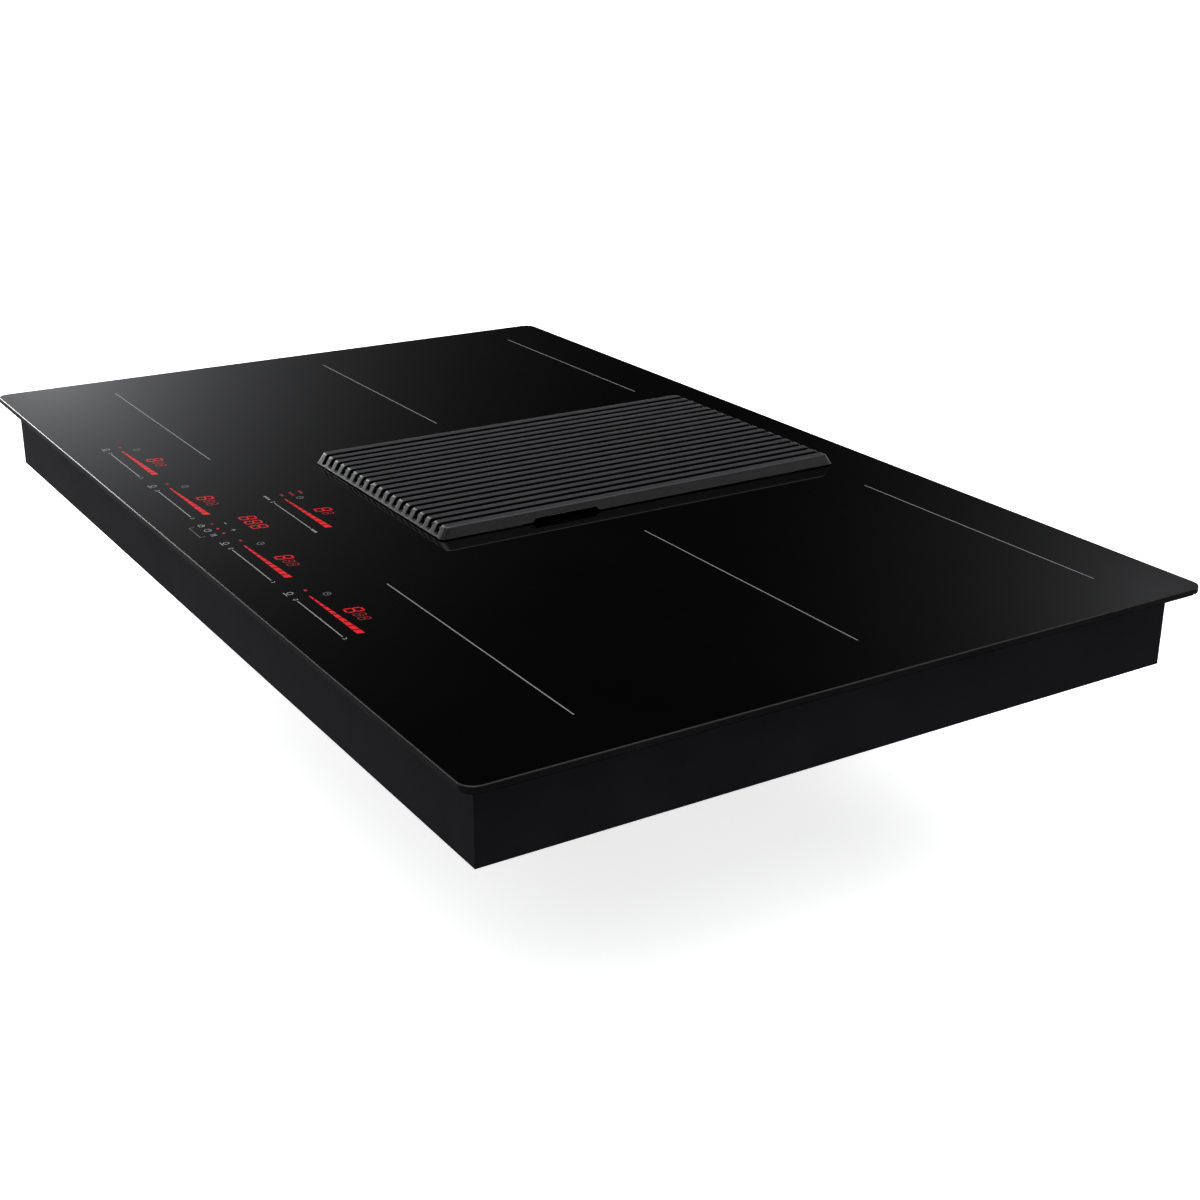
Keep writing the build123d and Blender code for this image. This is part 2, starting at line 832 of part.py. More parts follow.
def blower_impeller():
    crown = cup_top + hub_wall
    hub = drum(cup_radius + hub_wall, wheel_bottom, crown)
    hub = chamfer(hub.faces().sort_by(Axis.Z)[-1].edges(), hub_wall - edge_left)
    hub += prism(wheel_radius, wheel_sides, wheel_bottom, wheel_bottom + wheel_backplate)
    wheel = hub - drum(cup_radius, wheel_bottom, cup_top) - disc(shaft_radius, cup_top, crown)
    shroud = prism(wheel_radius, wheel_sides, wheel_top - wheel_ring, wheel_top)
    wheel += shroud - prism(wheel_eye_radius, wheel_sides, wheel_top - wheel_ring, wheel_top)
    blade = Pos(0, 0, wheel_bottom) * impeller_blade()
    blade -= drum(cup_radius + hub_wall / 2, wheel_bottom, crown)
    for index in range(wheel_blades):
        wheel += Rot(0, 0, 360.0 * index / wheel_blades) * blade
    return Pos(0, fan_y, 0) * wheel


def rotor_cup():
    cup = drum(cup_radius, cup_bottom, cup_top, 0, fan_y)
    cup -= drum(cup_radius - cup_wall, cup_bottom, cup_top - cup_wall, 0, fan_y)
    return cup - disc(shaft_radius, cup_top - cup_wall, cup_top, 0, fan_y)


def rotor_magnets():
    return drum_ring(magnet_outer, magnet_inner, stator_bottom, stator_top, 0, fan_y)


def motor_shaft():
    return disc(shaft_radius, housing_floor + mount_height, cup_top + hub_wall, 0, fan_y)


def mount_places():
    turns = [360.0 * index / motor_mounts for index in range(motor_mounts)]
    return [polar(motor_mount_pitch_radius, turn + 90.0) for turn in turns]


def motor_rubber_mounts():
    z0 = housing_floor
    return group(prism(mount_radius, drum_sides // 2, z0, z0 + mount_height, x, y)
                 for x, y in mount_places())


def motor_base():
    z0 = housing_floor + mount_height
    base = drum(motor_base_radius, z0, motor_base_top, 0, fan_y)
    base += drum(bearing_tube_radius, z0, bearing_tube_top, 0, fan_y)
    base -= drum(shaft_radius + shaft_clearance, z0, bearing_tube_top, 0, fan_y)
    for bottom in bearing_bottoms():
        base -= drum(bearing_radius, bottom, bottom + bearing_length, 0, fan_y)
    return base


def bearing_bottoms():
    return (motor_base_top, bearing_tube_top - bearing_length)


def motor_bearings():
    inner = shaft_radius + bearing_clearance
    return group(drum(bearing_radius, z, z + bearing_length, 0, fan_y)
                 - disc(inner, z, z + bearing_length, 0, fan_y) for z in bearing_bottoms())


def stator_core():
    # the corners of the flat tooth tips lie on the stator's radius
    tip_face = (stator_radius ** 2 - (tooth_tip_width / 2) ** 2) ** 0.5
    core = drum_ring(stator_hub_radius, bearing_tube_radius, stator_bottom, stator_top)
    for index in range(stator_teeth):
        turn = Rot(0, 0, 360.0 * index / stator_teeth)
        core += turn * block(stator_hub_radius - tooth_tip, tip_face - tooth_tip / 2,
                             -tooth_width / 2, tooth_width / 2, stator_bottom, stator_top)
        core += turn * block(tip_face - tooth_tip, tip_face, -tooth_tip_width / 2, tooth_tip_width / 2,
                             stator_bottom, stator_top)
    return Pos(0, fan_y, 0) * core


def stator_windings():
    inner = stator_hub_radius + tooth_tip
    outer = stator_radius - 2 * tooth_tip
    half = tooth_width / 2
    bobbin = block(inner, outer, -half - winding_thickness, half + winding_thickness,
                   stator_bottom - tooth_tip, stator_top + tooth_tip)
    bobbin -= block(inner, outer, -half, half, stator_bottom, stator_top)
    turns = [360.0 * index / stator_teeth for index in range(stator_teeth)]
    return group(Pos(0, fan_y, 0) * Rot(0, 0, turn) * bobbin for turn in turns)


# ---- Outlet spigot and flaps ----
outlet_roof = housing_top - housing_wall
spigot_start = outlet_y - spigot_insert
duct_left = outlet_left + spigot_insert_gap + spigot_wall
duct_right = outlet_right - spigot_insert_gap - spigot_wall
duct_floor = housing_floor + spigot_insert_gap + spigot_wall
duct_roof = outlet_roof - spigot_insert_gap - spigot_wall
flap_axis_y = spigot_start + flap_setback
flap_pitch = (duct_roof - duct_floor - flap_top_gap) / 2
flap_upper_z = duct_roof - flap_top_gap
flap_lower_z = flap_upper_z - flap_pitch
flap_height = flap_pitch - flap_end_gap - flap_pin_radius


def outlet_flange(z0, z1):
    # ears both sides of the housing's outlet, which the spigot's flange lies against
    y0 = outlet_y - spigot_flange_thickness
    left = outlet_left - housing_wall
    right = outlet_right + housing_wall
    return (block(left - spigot_flange, left + housing_wall, y0, outlet_y, z0, z1)
            + block(right - housing_wall, right + spigot_flange, y0, outlet_y, z0, z1))


def outlet_spigot():
    left = outlet_left - housing_wall
    right = outlet_right + housing_wall
    gap = spigot_insert_gap
    body = block(left, right, outlet_y, spigot_end, housing_bottom, housing_top)
    body += block(left - spigot_flange, right + spigot_flange, outlet_y,
                  outlet_y + spigot_flange_thickness, housing_bottom, housing_top)
    body += block(outlet_left + gap, outlet_right - gap, spigot_start, outlet_y,
                  housing_floor + gap, outlet_roof - gap)
    body -= block(duct_left, duct_right, spigot_start, spigot_end, duct_floor, duct_roof)
    stop_back = flap_axis_y - flap_thickness / 2 - rest_gap
    for side, wall in ((1, duct_left), (-1, duct_right)):
        edge = wall + side * flap_stop_width
        body += block(min(wall, edge), max(wall, edge), stop_back - flap_stop_depth, stop_back,
                      duct_floor, duct_roof)
    for z in (flap_upper_z, flap_lower_z):
        pin = Pos(outlet_middle, flap_axis_y, z) * Rot(0, 90, 0)
        length = duct_right - duct_left + 2 * spigot_wall
        body -= pin * Cylinder(flap_pin_radius + flap_pin_clearance, length)
    return body


def flap(z):
    half = (duct_right - duct_left) / 2 - flap_side_gap
    leaf = block(outlet_middle - half, outlet_middle + half, flap_axis_y - flap_thickness / 2,
                 flap_axis_y + flap_thickness / 2, z - flap_height, z)
    pin_length = duct_right - duct_left + 2 * spigot_wall - 2 * flap_pin_clearance
    return leaf + Pos(outlet_middle, flap_axis_y, z) * Rot(0, 90, 0) * Cylinder(flap_pin_radius, pin_length)


# ---- Casing ----
def side_places(x, y_values):
    return [(side * x, y) for side in (-1, 1) for y in y_values]


def clamp_places():
    x = casing_width / 2 - clamp_inset
    y = casing_depth / 2 - clamp_inset
    return [(sx * x, sy * y) for sx in (-1, 1) for sy in (-1, 1)]


def vent_slots():
    cutters = []
    middle = (vent_slot_count - 1) / 2
    vent_y = vent_inset - casing_depth / 2
    for side in (-1, 1):
        for index in range(vent_slot_count):
            x = side * (zone_x + vent_offset) + (index - middle) * vent_slot_pitch
            cutters.append(sheet(vent_slot_width, vent_slot_length, casing_bottom, casing_floor, x, vent_y))
        middle_slot = (fan_slot_count - 1) / 2
        for index in range(fan_slot_count):
            offset = (index - middle_slot) * fan_slot_pitch
            length = 2 * (cooler_bore_radius ** 2 - offset ** 2) ** 0.5 - fan_slot_width
            cutters.append(sheet(fan_slot_width, length, casing_bottom, casing_floor,
                                 side * zone_x + offset, cooler_y))
    return cutters


def casing_base():
    # the sheet under everything, with the hole for the well, the vents and the screw holes
    base = sheet(casing_width, casing_depth, casing_bottom, casing_floor)
    base -= slab(well_width + 2 * well_hole_clearance, well_length + 2 * well_hole_clearance,
                 well_corner + well_hole_clearance, casing_bottom, casing_floor, y=intake_y)
    cutters = vent_slots()
    cutters += [disc(clamp_hole_radius, casing_bottom, casing_floor, x, y) for x, y in clamp_places()]
    cutters += screw_holes(well_screw_places(), casing_bottom, casing_floor)
    cutters.append(drum(gland_thread_radius, casing_bottom, casing_floor, gland_x, gland_y))
    return without(base, cutters)


def casing_walls():
    # the folded surround: a rim turned in under the glass, and a foot turned in on the base
    walls = sheet(casing_width, casing_depth, casing_floor, glass_under)
    walls -= sheet(casing_width - 2 * casing_sheet, casing_depth - 2 * casing_sheet,
                   casing_floor + casing_sheet, glass_under - casing_sheet)
    for turned_in, z0 in ((casing_rim, glass_under - casing_sheet), (casing_foot, casing_floor)):
        walls -= sheet(casing_width - 2 * turned_in, casing_depth - 2 * turned_in, z0, z0 + casing_sheet)
    return walls


# ---- Cooking zones ----
def zone_sheet(side, z0, z1):
    # a flat sheet under one pair of zones, holed for the two sensors
    x = side * zone_x
    body = sheet(coil_plate_width, coil_plate_depth, z0, z1, x, zones_y)
    return without(body, [prism(sensor_hole_radius, 8, z0, z1, x, y) for y in (zone_front_y, zone_rear_y)])


def insulation_sheets():
    return group(zone_sheet(side, coil_top, glass_under) for side in (-1, 1))


def coil_plate(side):
    return zone_sheet(side, coil_plate_under, coil_plate_top)


def coil(x, y):
    # flat winding with rounded corners; its small eye has cut corners
    body = slab(coil_width, coil_depth, coil_corner, ferrite_top, coil_top, x, y)
    eye = sheet(coil_eye_width, coil_eye_depth, ferrite_top, coil_top, x, y)
    return body - chamfer(eye.edges().filter_by(Axis.Z), coil_eye_cut)


def ferrite_bars():
    bars = []
    for x, y in side_places(zone_x, (zone_front_y, zone_rear_y)):
        for index in range(ferrite_count):
            bar = block(ferrite_start, ferrite_start + ferrite_length, -ferrite_width / 2,
                        ferrite_width / 2, coil_plate_top, ferrite_top)
            turn = 360.0 * (index + 0.5) / ferrite_count
            bars.append(Pos(x, y, 0) * Rot(0, 0, turn) * bar)
    return group(bars)


def zone_sensors():
    places = side_places(zone_x, (zone_front_y, zone_rear_y))
    return group(prism(sensor_radius, 8, coil_plate_under, glass_under, x, y) for x, y in places)


def plate_spring(x, y):
    # bent strip: a foot on the casing floor, a leaning leg, and a flat pad under the coil plate
    low = casing_floor
    high = coil_plate_under
    half = spring_foot / 2
    t = spring_sheet
    points = [(-half, low), (half, low), (half, low + t), (t - half, low + t), (t, (low + high) / 2),
              (t - half, high - t), (half, high - t), (half, high), (-half, high),
              (0, (low + high) / 2)]
    section = Plane.XZ * make_face(Polyline(*points, close=True))
    strip = extrude(section, spring_width / 2, both=True)
    return Pos(x, y, 0) * strip


def plate_springs():
    spread_x = coil_plate_width / 2 - spring_inset
    spread_y = coil_plate_depth / 2 - spring_inset
    places = [(side * zone_x + sx * spread_x, zones_y + sy * spread_y)
              for side in (-1, 1) for sx in (-1, 1) for sy in (-1, 1)]
    return group(plate_spring(x, y) for x, y in places)


# ---- Power electronics ----
def post_grid(x, y, width, depth, rows):
    dx = width / 2 - carrier_post
    dy = depth / 2 - carrier_post
    return [(x + sx * dx, y + sy * dy) for sx in (-1, 1) for sy in rows]


def board_carrier(side):
    # a window frame on the casing floor with posts that hold the board up
    x = side * zone_x
    width = board_width + 2 * carrier_margin
    depth = board_depth + 2 * carrier_margin
    window = 2 * carrier_window
    top = casing_floor + carrier_thickness
    body = sheet(width, depth, casing_floor, top, x, board_y)
    body -= sheet(width - window, depth - window, casing_floor, top, x, board_y)
    places = post_grid(x, board_y, board_width, board_depth, (-1, 0, 1))
    if side > 0:
        places += post_grid(x, mains_board_y, mains_board_width, mains_board_depth, (-1, 1))
        body += sheet(mains_board_width, mains_board_depth, casing_floor, top, x, mains_board_y)
    for px, py in places:
        body += sheet(carrier_post, carrier_post, casing_floor, board_under, px, py)
    return body


def power_board(side):
    return sheet(board_width, board_depth, board_under, board_top, side * zone_x, board_y)


def mains_board():
    return sheet(mains_board_width, mains_board_depth, board_under, board_top, zone_x, mains_board_y)


def heat_sink(side):
    x = side * zone_x
    y0 = sink_y - sink_length / 2
    y1 = sink_y + sink_length / 2
    left = x - sink_width / 2
    body = block(left, left + sink_width, y0, y1, board_top, board_top + sink_base)
    step = (sink_width - sink_fin) / (sink_fins - 1)
    for index in range(sink_fins):
        fin = left + index * step
        body += block(fin, fin + sink_fin, y0, y1, board_top, board_top + sink_height)
    return body


def row_along_sink(x, count, pitch):
    middle = (count - 1) / 2
    return [(side * x, sink_y + (index - middle) * pitch) for side in (-1, 1) for index in range(count)]


def power_transistors():
    x = zone_x + sink_width / 2 + transistor_size[0] / 2
    places = row_along_sink(x, transistor_count, transistor_pitch)
    return group(centred_block(transistor_size, x, y, board_top) for x, y in places)


def board_capacitors():
    places = row_along_sink(zone_x - capacitor_offset, capacitor_count, capacitor_pitch)
    places += [(zone_x, mains_board_y), (zone_x + capacitor_row, mains_board_y)]
    return group(centred_block(capacitor_size, x, y, board_top) for x, y in places)


def power_chokes():
    y = board_back - choke_inset
    places = side_places(zone_x + choke_offset, (y, y - 3 * choke_radius))
    places.append((zone_x - mains_board_width / 4, mains_board_y))
    return group(prism(choke_radius, 12, board_top, board_top + choke_height, x, y)
                 - prism(choke_bore, 8, board_top, board_top + choke_height, x, y) for x, y in places)


# ---- Cooling fans ----
cooler_top = casing_floor + cooler_height
cooler_rotor_bottom = casing_floor + cooler_strut_thickness + cooler_float
cooler_rotor_top = cooler_top - cooler_float
cooler_tip_radius = cooler_bore_radius - cooler_tip_gap


def cooling_fan_frame(side):
    body = sheet(cooler_size, cooler_size, casing_floor, cooler_top)
    body -= drum(cooler_bore_radius, casing_floor, cooler_top)
    strut_top = casing_floor + cooler_strut_thickness
    hub = drum(cooler_hub_radius, casing_floor, strut_top)
    for index in range(cooler_strut_count):
        arm = block(0, cooler_bore_radius + cooler_overlap, -cooler_strut / 2, cooler_strut / 2,
                    casing_floor, strut_top)
        hub += Rot(0, 0, 360.0 * index / cooler_strut_count + 90.0) * arm
    body += hub
    body += disc(cooler_pin_radius, casing_floor, cooler_rotor_top - cooler_strut_thickness)
    return Pos(side * zone_x, cooler_y, 0) * body


def cooling_fan_rotor(side):
    hub = drum(cooler_hub_radius, cooler_rotor_bottom, cooler_rotor_top)
    bore = cooler_pin_radius + bearing_clearance
    hub -= disc(bore, cooler_rotor_bottom, cooler_rotor_top - cooler_strut_thickness + cooler_float)
    pitch = radians(cooler_blade_pitch)
    blade_length = (cooler_rotor_top - cooler_rotor_bottom - 2 * cooler_float) / sin(pitch)
    # the corners of a blade's straight tip lie on the tip radius
    reach = (cooler_tip_radius ** 2 - (blade_length * cos(pitch) / 2) ** 2) ** 0.5
    root = cooler_hub_radius - cooler_overlap
    middle = Pos((root + reach) / 2, 0, (cooler_rotor_bottom + cooler_rotor_top) / 2)
    blade = middle * Rot(cooler_blade_pitch, 0, 0) * Box(reach - root, blade_length, cooler_blade_thickness)
    for index in range(cooler_blades):
        hub += Rot(0, 0, 360.0 * index / cooler_blades) * blade
    return Pos(side * zone_x, cooler_y, 0) * hub


# ---- Mains side ----
def terminal_block():
    body = sheet(terminal_width, terminal_depth, casing_floor, casing_floor + terminal_height,
                 terminal_x, gland_y)
    pitch = terminal_width / (terminal_poles + 1)
    middle = (terminal_poles - 1) / 2
    for index in range(terminal_poles):
        x = terminal_x + (index - middle) * pitch
        body -= sheet(terminal_pole_size, terminal_pole_size, casing_floor + terminal_height / 2,
                      casing_floor + terminal_height, x, gland_y)
    return body


def terminal_cover():
    gap = terminal_cover_gap + terminal_cover_wall
    width = terminal_width + 2 * gap
    depth = terminal_depth + 2 * gap
    top = casing_floor + terminal_height + gap
    cover = sheet(width, depth, casing_floor, top, terminal_x, gland_y)
    wall = terminal_cover_wall
    return cover - sheet(width - 2 * wall, depth - 2 * wall, casing_floor, top - wall, terminal_x, gland_y)


def cable_gland():
    bottom = casing_bottom - gland_length
    body = drum(gland_thread_radius, bottom, casing_floor + gland_nut_height, gland_x, gland_y)
    nut = RegularPolygon(gland_nut / 2, 6, major_radius=False)
    for z in (casing_bottom - gland_nut_height, casing_floor):
        body += Pos(gland_x, gland_y, z) * extrude(nut, gland_nut_height)
    return body - disc(gland_bore, bottom, casing_floor + gland_nut_height, gland_x, gland_y)


# ---- Touch controls ----
def touch_outline(z0, z1):
    body = sheet(touch_board_width, touch_board_depth, z0, z1, 0, touch_board_y)
    back = touch_board_y + touch_board_depth / 2
    body += block(-touch_block_width / 2, touch_block_width / 2, back, back + touch_block_depth, z0, z1)
    return body


def touch_board():
    return touch_outline(touch_board_under, touch_board_top)


def light_box(width, depth, x, y):
    # white light guide: an open frame with one bar between the digit and the slider marks
    body = sheet(width, depth, touch_board_top, glass_under, x, y)
    for side in (-1, 1):
        window = (depth - 3 * light_wall) / 2
        offset = side * (window + light_wall) / 2
        body -= sheet(width - 2 * light_wall, window, touch_board_top, glass_under, x, y + offset)
    return body


def light_guides():
    y = touch_board_y
    boxes = [light_box(slider_light_width, slider_light_depth, x, y + slider_light_offset) for x in slider_x]
    boxes.append(light_box(timer_light_width, timer_light_depth, 0, y + timer_light_offset))
    boxes.append(light_box(vent_light_width, vent_light_depth, 0, y + vent_light_offset))
    return group(boxes)


def control_holder():
    body = touch_outline(touch_board_under - holder_thickness, touch_board_under)
    y = touch_board_y + holder_post_offset
    for x in holder_post_x:
        body += sheet(holder_post, holder_post, casing_floor, touch_board_under, x, y)
    return body


# ---- Write one STEP file for each node ----
def make_nodes():
    nodes = {
        "ceramic_glass": ceramic_glass(),
        "rim_seal": rim_seal(),
        "intake_grille": grille(),
        "grille_pads": grille_pads(),
        "intake_collar": intake_collar(),
        "well_gasket": well_gasket(),
        "intake_well": intake_well(),
        "well_screws": well_screws(),
        "filter_basket": filter_basket(),
        "filter_mesh": filter_mesh(),
        "filter_grip": filter_grip(),
        "drip_tray": drip_tray(),
        "housing_upper": housing_upper(),
        "housing_lower": housing_lower(),
        "housing_screws": housing_screws(),
        "blower_impeller": blower_impeller(),
        "rotor_cup": rotor_cup(),
        "rotor_magnets": rotor_magnets(),
        "motor_shaft": motor_shaft(),
        "motor_bearings": motor_bearings(),
        "motor_base": motor_base(),
        "motor_rubber_mounts": motor_rubber_mounts(),
        "stator_core": stator_core(),
        "stator_windings": stator_windings(),
        "outlet_spigot": outlet_spigot(),
        "flap_upper": flap(flap_upper_z),
        "flap_lower": flap(flap_lower_z),
        "casing_base": casing_base(),
        "casing_walls": casing_walls(),
        "coil_front_left": coil(-zone_x, zone_front_y),
        "coil_rear_left": coil(-zone_x, zone_rear_y),
        "coil_front_right": coil(zone_x, zone_front_y),
        "coil_rear_right": coil(zone_x, zone_rear_y),
        "ferrite_bars": ferrite_bars(),
        "insulation_sheets": insulation_sheets(),
        "zone_sensors": zone_sensors(),
        "plate_springs": plate_springs(),
        "power_transistors": power_transistors(),
        "board_capacitors": board_capacitors(),
        "power_chokes": power_chokes(),
        "mains_board": mains_board(),
        "terminal_block": terminal_block(),
        "terminal_cover": terminal_cover(),
        "cable_gland": cable_gland(),
        "touch_board": touch_board(),
        "light_guides": light_guides(),
        "control_holder": control_holder(),
    }
    for name, side in (("left", -1), ("right", 1)):
        nodes["coil_plate_" + name] = coil_plate(side)
        nodes["board_carrier_" + name] = board_carrier(side)
        nodes["power_board_" + name] = power_board(side)
        nodes["heat_sink_" + name] = heat_sink(side)
        nodes["cooling_fan_frame_" + name] = cooling_fan_frame(side)
        nodes["cooling_fan_rotor_" + name] = cooling_fan_rotor(side)
    return nodes


os.makedirs("parts", exist_ok=True)
for node, shape in make_nodes().items():
    export_step(shape, "parts/" + node + ".step")
    print(node)
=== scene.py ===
import json
from math import cos, pi, radians, sin

import bmesh
import bpy
from mathutils import Matrix, Vector


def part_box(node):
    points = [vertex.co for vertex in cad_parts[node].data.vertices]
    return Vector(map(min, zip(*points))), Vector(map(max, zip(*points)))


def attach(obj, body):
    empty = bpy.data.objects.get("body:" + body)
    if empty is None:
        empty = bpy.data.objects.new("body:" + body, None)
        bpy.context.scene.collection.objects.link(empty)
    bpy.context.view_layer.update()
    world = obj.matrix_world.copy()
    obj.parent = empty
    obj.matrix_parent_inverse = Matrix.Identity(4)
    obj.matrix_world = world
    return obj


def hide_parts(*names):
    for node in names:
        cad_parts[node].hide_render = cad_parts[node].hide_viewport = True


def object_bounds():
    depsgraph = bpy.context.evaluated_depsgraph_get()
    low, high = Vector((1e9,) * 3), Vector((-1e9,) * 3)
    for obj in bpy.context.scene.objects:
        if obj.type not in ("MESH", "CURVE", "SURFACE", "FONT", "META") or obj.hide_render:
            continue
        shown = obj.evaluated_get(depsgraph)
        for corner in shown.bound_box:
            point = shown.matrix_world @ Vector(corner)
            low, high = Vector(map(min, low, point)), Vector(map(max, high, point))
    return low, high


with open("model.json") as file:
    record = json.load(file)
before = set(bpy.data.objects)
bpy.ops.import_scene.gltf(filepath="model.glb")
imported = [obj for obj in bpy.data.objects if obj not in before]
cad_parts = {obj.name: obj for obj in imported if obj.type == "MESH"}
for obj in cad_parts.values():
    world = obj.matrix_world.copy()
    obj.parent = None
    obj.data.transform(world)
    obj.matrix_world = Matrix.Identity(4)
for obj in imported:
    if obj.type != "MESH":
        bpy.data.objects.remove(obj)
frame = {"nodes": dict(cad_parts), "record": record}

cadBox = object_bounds()
mm = 0.001

# the viewpoint of the photograph
camera = {
    "place": (1.088787, -0.608342, 0.402225),   # metres
    "turn": 57.741,     # degrees to the left of straight back
    "dip": 21.599,      # degrees below level
    "roll": 0.336,
    "lens": 53.86,
    "sensor": 36.0,
    "clip": (0.05, 60.0),
}


def makeCamera(spec):
    turn, dip, roll = (radians(spec[key]) for key in ("turn", "dip", "roll"))
    ahead = Vector((-sin(turn) * cos(dip), cos(turn) * cos(dip), -sin(dip)))
    level = Vector((cos(turn), sin(turn), 0))
    upright = level.cross(ahead)
    right = level * cos(roll) + upright * sin(roll)
    top = upright * cos(roll) - level * sin(roll)
    data = bpy.data.cameras.new("photoCamera")
    data.lens = spec["lens"]
    data.sensor_width = spec["sensor"]
    data.clip_start, data.clip_end = spec["clip"]
    viewer = bpy.data.objects.new("photoCamera", data)
    bpy.context.scene.collection.objects.link(viewer)
    turned = Matrix((right, top, -ahead)).transposed().to_4x4()
    viewer.matrix_world = Matrix.Translation(Vector(spec["place"])) @ turned
    bpy.context.scene.camera = viewer


makeCamera(camera)
bpy.context.scene.view_settings.view_transform = "Standard"
print("camera placed")

hair = 1e-6               # in metres: points closer than this are one
sharpTurn = radians(60)   # an edge that turns more than this is bevelled


def joinLink(tree, source, target):
    tree.links.new(source, target)


def meshFrom(name, bm):
    data = bpy.data.meshes.new(name)
    bm.to_mesh(data)
    bm.free()
    return data


def placeObject(name, data):
    holder = bpy.data.objects.new(name, data)
    bpy.context.scene.collection.objects.link(holder)
    return holder


def objectMesh(name, bm):
    return placeObject(name, meshFrom(name, bm))


def smoothObject(name, data, material, sharpAngle):
    for face in data.polygons:
        face.use_smooth = True
    data.set_sharp_from_angle(angle=radians(sharpAngle))
    data.materials.clear()
    data.materials.append(material)
    return placeObject(name, data)


def dressPiece(name, data, material, body, sharpAngle=35):
    # a mesh becomes a smooth shaded piece that rides on its body
    piece = smoothObject(name, data, material, sharpAngle)
    even = piece.modifiers.new("evenNormals", "WEIGHTED_NORMAL")
    even.keep_sharp = True
    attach(piece, body)
    return piece


def finishPiece(name, bm, material, body, sharpAngle=35):
    return dressPiece(name, meshFrom(name, bm), material, body, sharpAngle)


def softenEdges(holder, width, steps, angle):
    soften = holder.modifiers.new("soften", "BEVEL")
    soften.width = width
    soften.segments = steps
    soften.limit_method = "ANGLE"
    soften.angle_limit = radians(angle)
    soften.use_clamp_overlap = True
    return soften


def vertsOf(made):
    return [item for item in made if isinstance(item, bmesh.types.BMVert)]


def allOf(bm):
    return bm.verts[:] + bm.edges[:] + bm.faces[:]


def isSharp(edge):
    return edge.calc_face_angle(0) > sharpTurn


def bevelEdges(bm, edges, width, steps):
    bmesh.ops.bevel(bm, geom=list(edges), offset=width, offset_type="OFFSET", segments=steps,
                    profile=0.5, affect="EDGES", material=-1)


def bevelCorners(bm, verts, width, steps):
    bmesh.ops.bevel(bm, geom=list(verts), offset=width, offset_type="OFFSET", segments=steps,
                    profile=0.5, affect="VERTICES", material=-1)


def box(bm, low, high):
    made = bmesh.ops.create_cube(bm, size=1)["verts"]
    bmesh.ops.scale(bm, vec=[b - a for a, b in zip(low, high)], verts=made)
    bmesh.ops.translate(bm, vec=[(a + b) / 2 for a, b in zip(low, high)], verts=made)
    return made


def roundedOutline(bm, width, depth, corner, x, y, z, steps):
    # the edges of a rectangle with rounded corners, made by bevelling the corners of a square
    before = set(bm.faces)
    made = bmesh.ops.create_grid(bm, x_segments=1, y_segments=1, size=0.5)["verts"]
    bmesh.ops.scale(bm, vec=(width, depth, 1), verts=made)
    bmesh.ops.translate(bm, vec=(x, y, z), verts=made)
    bevelCorners(bm, made, corner, steps)
    fresh = [face for face in bm.faces if face not in before]
    edges = list({edge for face in fresh for edge in face.edges})
    bmesh.ops.delete(bm, geom=fresh, context="FACES_ONLY")
    return edges


def ringPlate(bm, outside, inside, z0, z1, steps):
    # a plate with a rounded opening: outside and inside are (width, depth, corner, x, y)
    edges = roundedOutline(bm, *outside, z1, steps) + roundedOutline(bm, *inside, z1, steps)
    faces = bmesh.ops.bridge_loops(bm, edges=edges)["faces"]
    made = bmesh.ops.extrude_face_region(bm, geom=faces)["geom"]
    bmesh.ops.translate(bm, vec=(0, 0, z0 - z1), verts=vertsOf(made))
    bmesh.ops.recalc_face_normals(bm, faces=bm.faces)


def evaluated(holder):
    graph = bpy.context.evaluated_depsgraph_get()
    graph.update()
    return bpy.data.meshes.new_from_object(holder.evaluated_get(graph))


def cutAway(base, cutter):
    # base takes the cut, and the cutter is thrown away
    step = base.modifiers.new("cut", "BOOLEAN")
    step.operation = "DIFFERENCE"
    step.solver = "EXACT"
    step.object = cutter
    data = evaluated(base)
    base.modifiers.remove(step)
    base.data = data
    bpy.data.objects.remove(cutter)


noiseRange = (0.3, 0.7)   # noise seldom leaves this range
noiseRoughness = 0.55


def startMaterial(name, rough, metallic=0.0, ior=1.5):
    material = bpy.data.materials.new(name)
    material.use_nodes = True
    shader = material.node_tree.nodes["Principled BSDF"]
    shader.inputs["Roughness"].default_value = rough
    shader.inputs["Metallic"].default_value = metallic
    shader.inputs["IOR"].default_value = ior
    return material, material.node_tree, shader


def addNode(tree, kind, **settings):
    node = tree.nodes.new(kind)
    for key, value in settings.items():
        setattr(node, key, value)
    return node


def placed(tree, scale=(1, 1, 1)):
    # object coordinates, stretched for a pattern
    source = addNode(tree, "ShaderNodeTexCoord")
    mapping = addNode(tree, "ShaderNodeMapping")
    mapping.inputs["Scale"].default_value = scale
    joinLink(tree, source.outputs["Object"], mapping.inputs["Vector"])
    return mapping.outputs["Vector"]


def noise(tree, vector, scale, detail=3.0):
    node = addNode(tree, "ShaderNodeTexNoise")
    node.inputs["Scale"].default_value = scale
    node.inputs["Detail"].default_value = detail
    node.inputs["Roughness"].default_value = noiseRoughness
    joinLink(tree, vector, node.inputs["Vector"])
    return node.outputs["Fac"]


def twoTones(tree, factor, dark, light, places=noiseRange):
    ramp = addNode(tree, "ShaderNodeValToRGB")
    for element, place, colour in zip(ramp.color_ramp.elements, places, (dark, light)):
        element.position = place
        element.color = (*colour, 1)
    joinLink(tree, factor, ramp.inputs["Fac"])
    return ramp.outputs["Color"]


